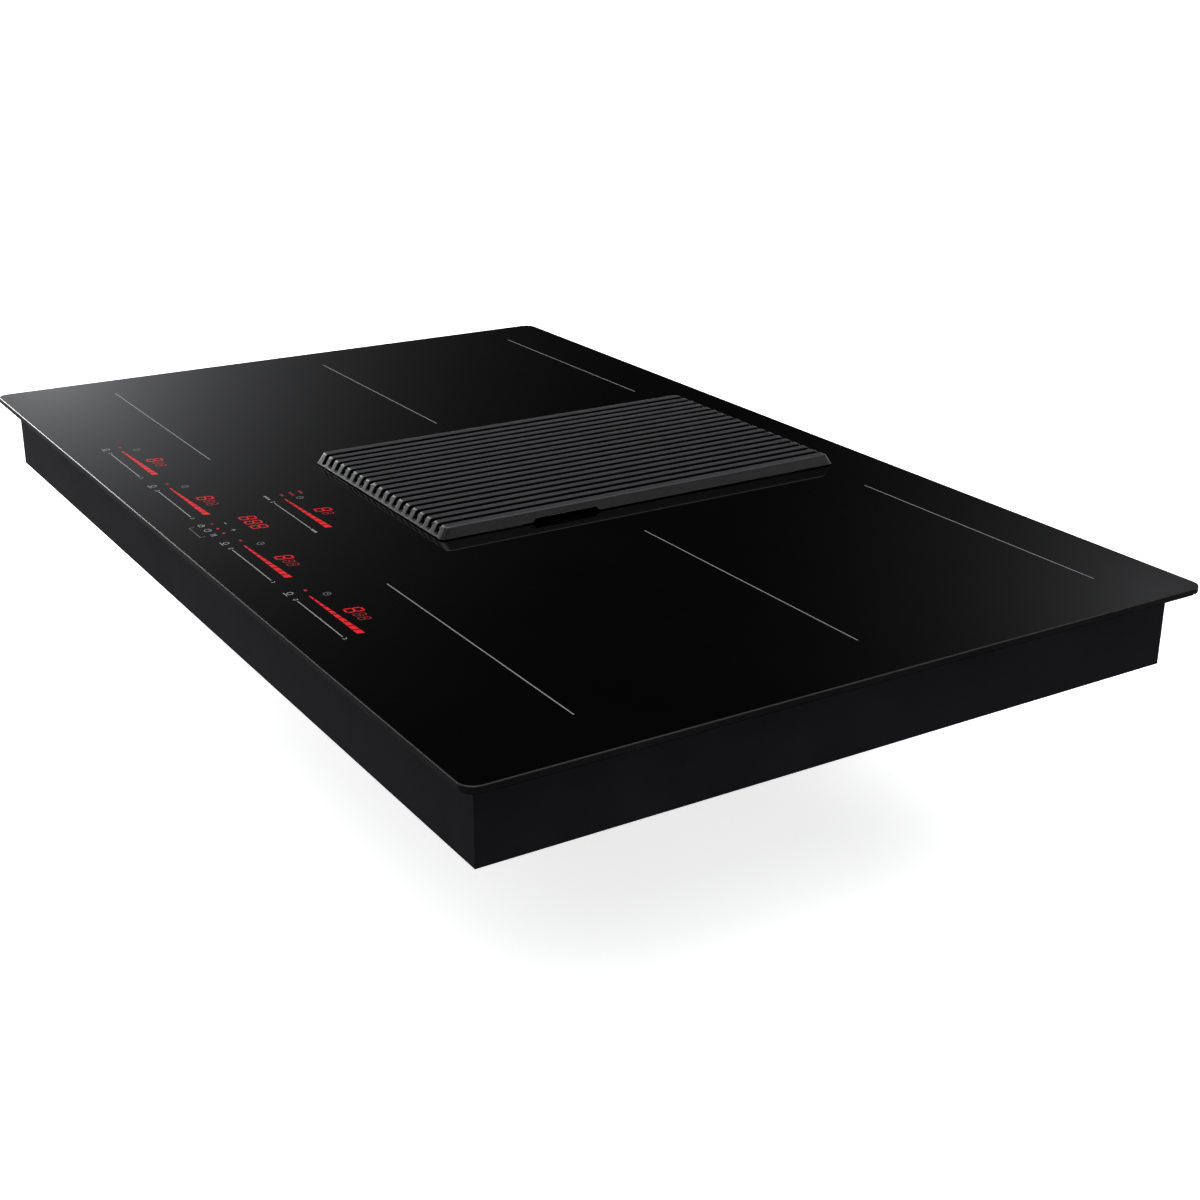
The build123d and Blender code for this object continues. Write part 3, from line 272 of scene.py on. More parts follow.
def spread(tree, factor, low, high):
    # noise becomes a value between low and high
    node = addNode(tree, "ShaderNodeMapRange")
    for key, value in zip(("From Min", "From Max", "To Min", "To Max"), (*noiseRange, low, high)):
        node.inputs[key].default_value = value
    joinLink(tree, factor, node.inputs["Value"])
    return node.outputs["Result"]


def addBump(tree, shader, height, strength, distance):
    bump = addNode(tree, "ShaderNodeBump")
    bump.inputs["Strength"].default_value = strength
    bump.inputs["Distance"].default_value = distance
    joinLink(tree, height, bump.inputs["Height"])
    joinLink(tree, bump.outputs["Normal"], shader.inputs["Normal"])


# what a finish has where its own entry says nothing
plainFinish = {"metallic": 0.0, "stretch": (1, 1, 1), "slow": 18.0, "sockets": {}}


def grained(name, given):
    # painted, moulded or rolled surface: fine grain, slow change of tone, uneven gloss
    spec = {**plainFinish, **given}
    material, tree, shader = startMaterial(name, spec["rough"][0], spec["metallic"])
    fine = noise(tree, placed(tree, spec["stretch"]), spec["grain"], detail=2.0)
    slow = noise(tree, placed(tree), spec["slow"], detail=4.0)
    joinLink(tree, twoTones(tree, slow, spec["dark"], spec["light"]), shader.inputs["Base Color"])
    joinLink(tree, spread(tree, fine, *spec["rough"]), shader.inputs["Roughness"])
    addBump(tree, shader, fine, spec["bump"], spec["depth"])
    for key, value in spec["sockets"].items():
        shader.inputs[key].default_value = value
    return material


finishes = {
    "casingPaint": {"dark": (0.0056, 0.0056, 0.0069), "light": (0.0078, 0.0078, 0.0094), "grain": 1400.0,
                    "rough": (0.6, 0.72), "bump": 0.25, "depth": 0.00003,
                    "sockets": {"Specular IOR Level": 0.3, "IOR": 1.08}},
    "grilleEnamel": {"dark": (0.0035, 0.0035, 0.0042), "light": (0.0055, 0.0055, 0.0064), "grain": 1800.0,
                     "rough": (0.34, 0.42), "bump": 0.25, "depth": 0.00003,
                     "sockets": {"Specular IOR Level": 0.4}},
    "polishedBevel": {"dark": (0.004, 0.004, 0.0042), "light": (0.007, 0.007, 0.0074), "grain": 1500.0,
                      "rough": (0.14, 0.2), "bump": 0.05, "depth": 0.00002,
                      "sockets": {"Specular IOR Level": 0.35}},
    # painted shade: a near-black matt copy of the grille enamel, put on the slot walls where shade falls
    "paintedSlotShade": {"dark": (0.0008, 0.0008, 0.0009), "light": (0.0014, 0.0014, 0.0015), "grain": 1800.0,
                  "rough": (0.6, 0.7), "bump": 0.05, "depth": 0.00002,
                  "sockets": {"Specular IOR Level": 0.03}},
    "groundEdge": {"dark": (0.004, 0.004, 0.0042), "light": (0.007, 0.007, 0.0074), "grain": 1500.0,
                   "rough": (0.42, 0.55), "bump": 0.2, "depth": 0.00003,
                   "sockets": {"Specular IOR Level": 0.3, "IOR": 1.06}},
    "mouldedBlack": {"dark": (0.022, 0.022, 0.024), "light": (0.032, 0.032, 0.034), "grain": 1600.0,
                     "rough": (0.45, 0.62), "bump": 0.5, "depth": 0.00005},
    "mouldedGrey": {"dark": (0.11, 0.11, 0.115), "light": (0.14, 0.14, 0.145), "grain": 1600.0,
                    "rough": (0.42, 0.58), "bump": 0.45, "depth": 0.00005},
    "wheelNylon": {"dark": (0.065, 0.066, 0.07), "light": (0.09, 0.09, 0.095), "grain": 1300.0,
                   "rough": (0.34, 0.5), "bump": 0.3, "depth": 0.00004},
    "trayPlastic": {"dark": (0.045, 0.045, 0.047), "light": (0.06, 0.06, 0.063), "grain": 1700.0,
                    "rough": (0.3, 0.44), "bump": 0.25, "depth": 0.00004},
    "softRubber": {"dark": (0.018, 0.018, 0.018), "light": (0.03, 0.03, 0.03), "grain": 2600.0,
                   "rough": (0.72, 0.88), "bump": 0.5, "depth": 0.00005},
    "sealFoam": {"dark": (0.0015, 0.0015, 0.0016), "light": (0.003, 0.003, 0.0032), "grain": 3200.0,
                 "rough": (0.82, 0.95), "bump": 0.8, "depth": 0.00012,
                 "sockets": {"Specular IOR Level": 0.1, "IOR": 1.08}},
    "brushedSteel": {"dark": (0.5, 0.5, 0.51), "light": (0.62, 0.62, 0.63), "grain": 900.0,
                     "stretch": (0.03, 1, 1), "rough": (0.2, 0.36), "metallic": 1.0,
                     "bump": 0.25, "depth": 0.00003},
    "zincSteel": {"dark": (0.42, 0.43, 0.45), "light": (0.62, 0.63, 0.66), "grain": 420.0, "slow": 160.0,
                  "rough": (0.28, 0.42), "metallic": 1.0, "bump": 0.15, "depth": 0.00003},
    "coreSteel": {"dark": (0.2, 0.2, 0.21), "light": (0.3, 0.3, 0.31), "grain": 2400.0,
                  "stretch": (0.02, 0.02, 1), "rough": (0.35, 0.5), "metallic": 1.0,
                  "bump": 0.7, "depth": 0.00012},
    "millAluminium": {"dark": (0.6, 0.61, 0.62), "light": (0.72, 0.73, 0.74), "grain": 800.0,
                      "stretch": (1, 0.04, 1), "rough": (0.28, 0.42), "metallic": 1.0,
                      "bump": 0.2, "depth": 0.00003},
    "sinteredGrey": {"dark": (0.05, 0.05, 0.054), "light": (0.09, 0.09, 0.095), "grain": 2600.0,
                     "rough": (0.6, 0.8), "bump": 0.6, "depth": 0.00008},
    "micaSheet": {"dark": (0.5, 0.46, 0.38), "light": (0.66, 0.62, 0.54), "grain": 700.0,
                  "stretch": (1, 0.2, 1), "slow": 60.0, "rough": (0.55, 0.75),
                  "bump": 0.35, "depth": 0.00006},
    "partBlack": {"dark": (0.014, 0.014, 0.015), "light": (0.022, 0.022, 0.024), "grain": 2000.0,
                  "rough": (0.38, 0.52), "bump": 0.3, "depth": 0.00003},
    "filmBlue": {"dark": (0.03, 0.09, 0.24), "light": (0.045, 0.12, 0.3), "grain": 1500.0,
                 "rough": (0.22, 0.34), "bump": 0.15, "depth": 0.00003},
    "diffusingWhite": {"dark": (0.72, 0.72, 0.7), "light": (0.8, 0.8, 0.78), "grain": 1800.0,
                       "rough": (0.5, 0.65), "bump": 0.2, "depth": 0.00003},
}

glassFinish = {
    "dark": (0.0003, 0.0003, 0.0003),
    "light": (0.0007, 0.0007, 0.0007),
    "rough": (0.008, 0.02),
    "ior": 1.52,
    "tone": 9.0,
    "grain": 60.0,
}


def ceramicGlass(name, spec):
    # deep black with a hardly visible unevenness in its gloss
    material, tree, shader = startMaterial(name, spec["rough"][0], ior=spec["ior"])
    tone = noise(tree, placed(tree), spec["tone"])
    gloss = noise(tree, placed(tree), spec["grain"], detail=4.0)
    joinLink(tree, twoTones(tree, tone, spec["dark"], spec["light"]), shader.inputs["Base Color"])
    joinLink(tree, spread(tree, gloss, *spec["rough"]), shader.inputs["Roughness"])
    return material


copperFinish = {
    "dark": (0.5, 0.17, 0.06),
    "light": (0.66, 0.27, 0.11),
    "rough": (0.24, 0.4),
    "tone": 30.0,
    "turns": 110.0,
    "waver": 0.6,
    "bump": 0.8,
    "depth": 0.0003,
}


def windingCopper(name, spec):
    # enamelled wire laid turn by turn
    material, tree, shader = startMaterial(name, spec["rough"][0], metallic=1.0)
    wave = addNode(tree, "ShaderNodeTexWave", wave_type="RINGS", rings_direction="Z")
    wave.inputs["Scale"].default_value = spec["turns"]
    wave.inputs["Distortion"].default_value = spec["waver"]
    wave.inputs["Detail"].default_value = 1.0
    joinLink(tree, placed(tree), wave.inputs["Vector"])
    slow = noise(tree, placed(tree), spec["tone"])
    joinLink(tree, twoTones(tree, slow, spec["dark"], spec["light"]), shader.inputs["Base Color"])
    joinLink(tree, spread(tree, slow, *spec["rough"]), shader.inputs["Roughness"])
    addBump(tree, shader, wave.outputs["Fac"], spec["bump"], spec["depth"])
    return material


boardFinish = {
    "resist": ((0.008, 0.06, 0.022), (0.01, 0.075, 0.028)),
    "track": (0.03, 0.14, 0.05),
    "trackWidth": 0.035,
    "tracks": 90.0,
    "rough": (0.24, 0.36),
    "grain": 220.0,
    "bump": 0.4,
    "depth": 0.00005,
}


def circuitBoard(name, spec):
    # green solder resist with copper tracks showing through as a paler tone
    material, tree, shader = startMaterial(name, spec["rough"][0])
    brick = addNode(tree, "ShaderNodeTexBrick")
    brick.inputs["Scale"].default_value = spec["tracks"]
    brick.inputs["Mortar Size"].default_value = spec["trackWidth"]
    for key, colour in zip(("Color1", "Color2", "Mortar"), (*spec["resist"], spec["track"])):
        brick.inputs[key].default_value = (*colour, 1)
    joinLink(tree, placed(tree), brick.inputs["Vector"])
    joinLink(tree, brick.outputs["Color"], shader.inputs["Base Color"])
    uneven = noise(tree, placed(tree), spec["grain"])
    joinLink(tree, spread(tree, uneven, *spec["rough"]), shader.inputs["Roughness"])
    addBump(tree, shader, brick.outputs["Fac"], spec["bump"], spec["depth"])
    return material


litFinish = {
    "colours": {"litRed": (0.74, 0.006, 0.012), "litDim": (0.3, 0.012, 0.02)},
    "bed": (0.02, 0.004, 0.004),
    "rough": 0.35,
    "gloss": 0.1,
    "strength": 1.0,
    "grain": 260.0,
    "dimmest": 0.82,   # of the full colour
}


def litMark(name, spec):
    # a lit segment seen through the glass: the light is a little uneven
    material, tree, shader = startMaterial(name, spec["rough"])
    shader.inputs["Base Color"].default_value = (*spec["bed"], 1)
    shader.inputs["Emission Strength"].default_value = spec["strength"]
    shader.inputs["Specular IOR Level"].default_value = spec["gloss"]
    colour = spec["colours"][name]
    dimmer = tuple(channel * spec["dimmest"] for channel in colour)
    uneven = noise(tree, placed(tree), spec["grain"])
    joinLink(tree, twoTones(tree, uneven, dimmer, colour), shader.inputs["Emission Color"])
    return material


inkFinish = {
    "tones": {
        "inkGrey": ((0.16, 0.16, 0.163), (0.21, 0.21, 0.213)),
        "inkFaint": ((0.055, 0.055, 0.056), (0.075, 0.075, 0.076)),
        "inkLine": ((0.13, 0.13, 0.132), (0.17, 0.17, 0.172)),
    },
    "rough": (0.42, 0.6),
    "grain": 900.0,
}


def printInk(name, spec):
    material, tree, shader = startMaterial(name, spec["rough"][0])
    speckle = noise(tree, placed(tree), spec["grain"])
    joinLink(tree, twoTones(tree, speckle, *spec["tones"][name]), shader.inputs["Base Color"])
    joinLink(tree, spread(tree, speckle, *spec["rough"]), shader.inputs["Roughness"])
    return material


materials = {name: grained(name, spec) for name, spec in finishes.items()}
materials["ceramicGlass"] = ceramicGlass("ceramicGlass", glassFinish)
materials["windingCopper"] = windingCopper("windingCopper", copperFinish)
materials["circuitBoard"] = circuitBoard("circuitBoard", boardFinish)
for markName in litFinish["colours"]:
    materials[markName] = litMark(markName, litFinish)
for inkName in inkFinish["tones"]:
    materials[inkName] = printInk(inkName, inkFinish)

slotFinish = {
    "ceramic_black": "ceramicGlass", "seal_foam": "sealFoam", "grille_graphite": "grilleEnamel",
    "pad_rubber": "softRubber", "casing_black": "casingPaint", "well_plastic": "mouldedBlack",
    "filter_steel": "brushedSteel", "tray_plastic": "trayPlastic", "blower_plastic": "mouldedBlack",
    "wheel_plastic": "wheelNylon", "zinc_steel": "zincSteel", "core_steel": "coreSteel",
    "copper_wire": "windingCopper", "aluminium_plate": "millAluminium", "ferrite_grey": "sinteredGrey",
    "mark_print": "inkLine", "mark_red": "litRed", "mica_white": "micaSheet",
    "board_green": "circuitBoard", "part_black": "partBlack", "film_blue": "filmBlue",
    "light_white": "diffusingWhite", "holder_grey": "mouldedGrey",
}
slotOf = {part["node"]: part["material_slot"] for part in frame["record"]["subparts"]}
bodyOf = {node: body for body, nodes in frame["record"]["behaviour"]["bodies"].items() for node in nodes}
for nodeName, holder in frame["nodes"].items():
    holder.data.materials.clear()
    holder.data.materials.append(materials[slotFinish[slotOf[nodeName]]])
print("materials made:", len(bpy.data.materials))

glassLow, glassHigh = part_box("ceramic_glass")
glassTop = glassHigh[2]
glassPlate = {
    "corner": 9.0 * mm,
    "opening": (182.0 * mm, 306.5 * mm, 12.0 * mm),   # width, depth and corner
    "openingY": 56.25 * mm,
    "topEdge": (0.5 * mm, 3),       # the bevels: width and steps
    "otherEdges": (0.12 * mm, 2),
    "cornerSteps": 14,
    "tilts": (0.98, 0.2),   # the top is glossy, the bevel less so, and the edge and the underside are ground
}


def makeGlass(spec):
    bm = bmesh.new()
    width, depth = glassHigh[0] - glassLow[0], glassHigh[1] - glassLow[1]
    ringPlate(bm, (width, depth, spec["corner"], 0, 0), (*spec["opening"], 0, spec["openingY"]),
              glassLow[2], glassTop, spec["cornerSteps"])
    halfWidth, halfDepth = spec["opening"][0] / 2 + mm, spec["opening"][1] / 2 + mm

    def onTopRim(v):
        # level with the top, and not round the opening
        outside = abs(v.co.x) > halfWidth or abs(v.co.y - spec["openingY"]) > halfDepth
        return outside and v.co.z > glassTop - hair

    rims = [edge for edge in bm.edges if isSharp(edge)]
    topRim = [edge for edge in rims if all(onTopRim(v) for v in edge.verts)]
    otherRims = [edge for edge in rims if edge not in topRim]
    bevelEdges(bm, topRim, *spec["topEdge"])
    bevelEdges(bm, otherRims, *spec["otherEdges"])
    piece = finishPiece("glassPlate", bm, materials["ceramicGlass"], bodyOf["ceramic_glass"],
                        sharpAngle=60)
    for name in ("polishedBevel", "groundEdge"):
        piece.data.materials.append(materials[name])
    for face in piece.data.polygons:
        face.material_index = sum(face.normal.z <= tilt for tilt in spec["tilts"])
    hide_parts("ceramic_glass")


makeGlass(glassPlate)
print("glass plate made")

markSink = 0.02 * mm    # the marks start this far under the glass top
markRise = 0.03 * mm    # and stand this far over it
segmentGap = 0.22       # between the segments of a digit, as a share of their width


class MarkSheet:
    # collects flat marks of one ink or light, all in millimetres from the glass centre

    def __init__(self):
        self.bm = bmesh.new()

    def outline(self, points):
        verts = [self.bm.verts.new((x * mm, y * mm, glassTop - markSink)) for x, y in points]
        face = self.bm.faces.new(verts)
        made = bmesh.ops.extrude_face_region(self.bm, geom=[face])["geom"]
        bmesh.ops.translate(self.bm, vec=(0, 0, markSink + markRise), verts=vertsOf(made))

    def bar(self, x0, x1, y0, y1, lean=0.0):
        self.outline([(x0, y0), (x1, y0), (x1 + lean, y1), (x0 + lean, y1)])

    def stroke(self, start, end, width):
        # a thin bar between two points
        ax, ay = start
        bx, by = end
        length = ((bx - ax) ** 2 + (by - ay) ** 2) ** 0.5
        dx, dy = -(by - ay) / length * width / 2, (bx - ax) / length * width / 2
        self.outline([(ax - dx, ay - dy), (bx - dx, by - dy), (bx + dx, by + dy), (ax + dx, ay + dy)])

    def path(self, points, width):
        for start, end in zip(points, points[1:]):
            self.stroke(start, end, width)

    def ring(self, x, y, radius, width, squash=1.0, start=0, end=360, steps=20):
        turns = [radians(start + (end - start) * step / steps) for step in range(steps + 1)]
        for first, second in zip(turns, turns[1:]):
            inner, outer = radius - width / 2, radius + width / 2
            self.outline([(x + inner * squash * cos(first), y + inner * sin(first)),
                          (x + outer * squash * cos(first), y + outer * sin(first)),
                          (x + outer * squash * cos(second), y + outer * sin(second)),
                          (x + inner * squash * cos(second), y + inner * sin(second))])

    def dot(self, x, y, radius, steps=16):
        turns = [2 * pi * step / steps for step in range(steps)]
        self.outline([(x + radius * cos(turn), y + radius * sin(turn)) for turn in turns])

    def digit(self, x, y, width, height, thick, lean):
        # a slanted seven-segment eight, x and y at its lower left corner
        gap, half = thick * segmentGap, thick / 2
        mid = height / 2

        def slanted(points):
            self.outline([(x + px + lean * py / height, y + py) for px, py in points])

        for level in (half, mid, height - half):
            left, right = half + gap, width - half - gap
            slanted([(left, level), (left + half, level - half), (right - half, level - half),
                     (right, level), (right - half, level + half), (left + half, level + half)])
        for side in (half, width - half):
            for low, high in ((half + gap, mid - gap), (mid + gap, height - half - gap)):
                slanted([(side, low), (side + half, low + half), (side + half, high - half),
                         (side, high), (side - half, high - half), (side - half, low + half)])

    def finish(self, name, material, slot):
        bmesh.ops.recalc_face_normals(self.bm, faces=self.bm.faces)
        finishPiece(name, self.bm, material, bodyOf["ceramic_glass"], sharpAngle=20)


bright, dim, ink, faint, lines = (MarkSheet() for _ in range(5))

zoneMarks = {"inner": 150.5, "outer": 370.5, "rows": (-170.6, 18.7, 207.8), "width": 0.8}


def makeZoneMarks(spec):
    for row in spec["rows"]:
        for side in (-1, 1):
            ends = sorted((side * spec["inner"], side * spec["outer"]))
            lines.bar(*ends, row - spec["width"] / 2, row + spec["width"] / 2)


inkStroke = 0.6
digits = {"width": 7.0, "height": 11.4, "thick": 1.1, "lean": 2.2}
smallDigits = {"width": 4.4, "height": 7.6, "thick": 0.65, "lean": 1.5}
wedgeBars = {"count": 10, "gap": 1.2, "height": (0.9, 4.5), "lean": 0.25}
guide = {"width": 0.7, "tick": 2.0, "zero": (1.5, 0.6)}   # zero: radius and squash of the ring
clockFace = {"size": 2.3, "hands": (0.6, 0.5)}
slider = {
    "zeroX": (-203.7, -98.9, 41.2, 146.0),
    "lineY": -229.0,
    "line": (2.9, 67.2),
    "arrow": (70.6, 0.8, 1.4),                # place, half width and half height
    "wedge": (-1.1, 68.5, -219.9),
    "lamp": (-11.4, -217.8, 1.5, 0.9, 0.4),   # place, half width, half height and lean
    "zone": (-11.0, -227.9, 1.9, 3.2, 3.4),   # place, ring radius, half width and drop of the bar under it
    "clock": (0.9, -208.9),
    "digit": (28.5, -211.8),
    "small": (38.5, -210.1),
    "smallPitch": 6.6,
}


def wedge(x0, x1, y):
    # bars that grow from left to right with a sloping top
    step = (x1 - x0) / wedgeBars["count"]
    first, last = wedgeBars["height"]
    for index in range(wedgeBars["count"]):
        left = x0 + index * step
        right = left + step - wedgeBars["gap"]
        low = first + (last - first) * index / wedgeBars["count"]
        high = first + (last - first) * (index + 1) / wedgeBars["count"]
        lean = wedgeBars["lean"]
        bright.outline([(left, y), (right, y), (right + high * lean, y + high), (left + low * lean, y + low)])


def clockIcon(x, y):
    size = clockFace["size"]
    upper, side = clockFace["hands"]
    faint.ring(x, y, size, inkStroke)
    faint.path([(x, y + size * upper), (x, y), (x + size * side, y)], inkStroke)


def guideLine(x, y, start, end):
    # a zero, then a thin line with a tick in its middle
    radius, squash = guide["zero"]
    half = guide["width"] / 2
    middle = x + (start + end) / 2
    ink.ring(x, y, radius, inkStroke, squash)
    ink.bar(x + start, x + end, y - half, y + half)
    ink.bar(middle - half, middle + half, y, y + guide["tick"] / 2)


def makeSliders(spec):
    for zero in spec["zeroX"]:
        y = spec["lineY"]
        guideLine(zero, y, *spec["line"])
        place, half, rise = spec["arrow"]
        end = zero + place
        ink.path([(end - half, y - rise), (end + half, y), (end - half, y + rise)], inkStroke)
        zoneX, zoneY, radius, half, drop = spec["zone"]
        ink.ring(zero + zoneX, zoneY, radius, inkStroke)
        ink.bar(zero + zoneX - half, zero + zoneX + half, zoneY - drop, zoneY - drop + inkStroke)
        x0, x1, wedgeY = spec["wedge"]
        wedge(zero + x0, zero + x1, wedgeY)
        lampX, lampY, half, rise, lean = spec["lamp"]
        dim.bar(zero + lampX - half, zero + lampX + half, lampY - rise, lampY + rise, lean)
        clockIcon(zero + spec["clock"][0], spec["clock"][1])
        bright.digit(zero + spec["digit"][0], spec["digit"][1], **digits)
        for index in range(2):
            dim.digit(zero + spec["small"][0] + index * spec["smallPitch"], spec["small"][1], **smallDigits)


timer = {
    "digitX": (-14.8, -4.7, 5.5),
    "digitY": -202.6,
    "signs": ((-7.5, -213.8), (7.9, -214.0)),
    "signSize": 1.8,
    "dots": (-10.8, 0.2, 10.8),
    "dotY": -222.0,
    "dotRadius": 1.05,
    "iconY": -229.0,
    "lock": (2.2, -2.0, 0.5, 1.3),         # half width, foot, top and radius of the shackle
    "power": (2.4, 120, 420, 0.4, 2.8),    # radius, start and end of the ring, foot and top of the stroke
    "pause": (1.2, 2.1, 0.8),              # half distance, half height and width of the bars
    "bracket": (-10.4, 10.8, -238.1, -234.4),
    "bracketWidth": 0.5,
}


def makeTimer(spec):
    for x in spec["digitX"]:
        bright.digit(x, spec["digitY"], **digits)
    (minusX, minusY), (plusX, plusY) = spec["signs"]
    size = spec["signSize"]
    ink.path([(minusX - size, minusY), (minusX + size, minusY)], inkStroke)
    ink.path([(plusX - size, plusY), (plusX + size, plusY)], inkStroke)
    ink.path([(plusX, plusY - size), (plusX, plusY + size)], inkStroke)
    left, middle, right = spec["dots"]
    for x, sheet in ((left, dim), (middle, bright), (right, bright)):
        sheet.dot(x, spec["dotY"], spec["dotRadius"])
    y = spec["iconY"]
    half, foot, top, shackle = spec["lock"]
    ink.path([(left - half, y + foot), (left + half, y + foot), (left + half, y + top),
              (left - half, y + top), (left - half, y + foot)], inkStroke)
    ink.ring(left, y + top, shackle, inkStroke, 1.0, 0, 180, 10)
    radius, start, end, foot, top = spec["power"]
    ink.ring(middle, y, radius, inkStroke, 1.0, start, end)
    ink.path([(middle, y + foot), (middle, y + top)], inkStroke)
    apart, rise, width = spec["pause"]
    for x in (right - apart, right + apart):
        ink.path([(x, y - rise), (x, y + rise)], width)
    x0, x1, y0, y1 = spec["bracket"]
    faint.path([(x0, y1), (x0, y0), (x1, y0), (x1, y1)], spec["bracketWidth"])


ventPanel = {
    "marks": ((-47.6, -41.2, -144.0), (-47.6, -39.6, -151.0), (-46.8, -41.6, -158.0)),
    "markHeight": 1.5,
    "markLean": 0.6,
    "clock": (-32.6, -149.2),
    "digit": (-4.8, -151.9),
    "small": (5.6, -150.1),
    "wedge": (-34.6, 36.3, -160.0),
    "lineY": -169.2,
    "zeroX": -33.0,
    "line": (2.9, 64.6),
    "rows": ((-49.2, -38.8), (32.6, 41.0)),   # three little blocks at each end of the line
    "block": (1.1, 0.9, 0.3),                 # half width, half height and lean
}


def makeVentPanel(spec):
    for x0, x1, y in spec["marks"]:
        dim.bar(x0, x1, y - spec["markHeight"] / 2, y + spec["markHeight"] / 2, spec["markLean"])
    clockIcon(*spec["clock"])
    bright.digit(*spec["digit"], **digits)
    dim.digit(*spec["small"], **smallDigits)
    wedge(*spec["wedge"])
    y = spec["lineY"]
    guideLine(spec["zeroX"], y, *spec["line"])
    half, rise, lean = spec["block"]
    for x0, x1 in spec["rows"]:
        for index in range(3):
            x = x0 + (x1 - x0) * (index + 0.5) / 3
            ink.bar(x - half, x + half, y - rise, y + rise, lean)


makeZoneMarks(zoneMarks)
makeSliders(slider)
makeTimer(timer)
makeVentPanel(ventPanel)
bright.finish("litMarks", materials["litRed"], "mark_red")
dim.finish("dimMarks", materials["litDim"], "mark_red")
ink.finish("printedMarks", materials["inkGrey"], "mark_print")
faint.finish("faintMarks", materials["inkFaint"], "mark_print")
lines.finish("zoneMarks", materials["inkLine"], "mark_print")
print("marks made")

grilleLow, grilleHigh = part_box("intake_grille")
grille = {
    "height": 7.8 * mm,          # from the foot of the rail to the slat tops
    "lean": 5.0 * mm,            # the legs slope back by this much
    "sideLean": 1.5 * mm,
    "corner": (3.0 * mm, 6),     # the bevels: width and steps
    "shoulder": (1.2 * mm, 4),
    "knee": (1.3 * mm, 4),
    "crown": (0.55 * mm, 3),
    "soft": (0.35 * mm, 2),
    "softAngle": 50,
    "wall": 2.5 * mm,
    "roof": 3.0 * mm,
    "rail": 0.9 * mm,
    "slats": 17,
    "pitch": 10.5 * mm,
    "slatWidth": 5.5 * mm,
    "slatSink": 0.1 * mm,        # how deep the feet stand in the rail
    "flare": ((0.0, 1.2 * mm), (0.3 * mm, 0.6 * mm), (0.7 * mm, 0.2 * mm), (1.2 * mm, 0.0)),   # height, reach
    "notch": (-11.6 * mm, 52.5 * mm, 3.0 * mm, 3.0 * mm),   # middle, length, height, slope
    "ribPitch": 78.0 * mm,
    "ribWidth": 2.0 * mm,
    "ribFoot": 3.4 * mm,         # above the finger notch
    "ribEnd": 3.1 * mm,
    "ribSink": 0.2 * mm,
    "lug": (2.0 * mm, 16.0 * mm, 84.4 * mm),                # thickness, length, distance from the middle
    "lugSink": 0.3 * mm,
    "shade": 7.0 * mm,           # further in than this, faces that look up less than shadeTilt get the painted slot shade
    "shadeTilt": 0.25,
}
legSlack = 0.3 * mm   # a point this close to the leaning outside belongs to it
grilleMiddle = (grilleLow[1] + grilleHigh[1]) / 2
grilleTop = grilleHigh[2]
grilleFoot = grilleTop - grille["height"]
grilleHalfX = grilleHigh[0]
grilleHalfY = (grilleHigh[1] - grilleLow[1]) / 2


def leaningBlock(bm, halfX, halfY, z0, z1, leanX, leanY):
    # a block whose four walls lean in towards the top
    verts = box(bm, (-halfX, grilleMiddle - halfY, z0), (halfX, grilleMiddle + halfY, z1))
    for v in verts:
        if v.co.z > (z0 + z1) / 2:
            v.co.x -= leanX if v.co.x > 0 else -leanX
            v.co.y -= leanY if v.co.y > grilleMiddle else -leanY


def grilleOutside(spec):
    bm = bmesh.new()
    leaningBlock(bm, grilleHalfX, grilleHalfY, grilleFoot, grilleTop, spec["sideLean"], spec["lean"])
    upright = [edge for edge in bm.edges
               if abs(edge.verts[0].co.z - edge.verts[1].co.z) > spec["height"] / 2]
    bevelEdges(bm, upright, *spec["corner"])
    level = [edge for edge in bm.edges if all(v.co.z > grilleTop - hair for v in edge.verts)]
    bevelEdges(bm, level, *spec["shoulder"])
    return objectMesh("grilleOutside", bm)


def grilleHollow(spec):
    # the room under the roof, parallel to the outside
    drop = spec["height"] / 4
    share = (spec["height"] - spec["roof"] + drop) / spec["height"]
    bm = bmesh.new()
    leaningBlock(bm, grilleHalfX - spec["wall"] + spec["sideLean"] * (1 - share),
                 grilleHalfY - spec["wall"] + spec["lean"] * (1 - share),
                 grilleFoot - drop, grilleTop - spec["roof"], spec["sideLean"] * share, spec["lean"] * share)
    return objectMesh("grilleHollow", bm)


def slatSpan(spec):
    # the room of all the slats between the two side walls, above the end rails
    inner = ((spec["slats"] + 1) * spec["pitch"] - spec["slatWidth"]) / 2
    bm = bmesh.new()
    box(bm, (-inner, grilleLow[1] - mm, grilleFoot + spec["rail"]),
        (inner, grilleHigh[1] + mm, grilleTop + mm))
    return objectMesh("slatSpan", bm)


def notchCutter(spec):
    middle, length, height, slope = spec["notch"]
    bm = bmesh.new()
    verts = box(bm, (grilleLow[0] - mm, middle - length / 2, grilleFoot - height),
                (grilleHigh[0] + mm, middle + length / 2, grilleFoot + height))
    for v in verts:
        outward = 1 if v.co.y > middle else -1
        v.co.y += outward * (slope if v.co.z < grilleFoot else -slope)
    return objectMesh("notchCutter", bm)


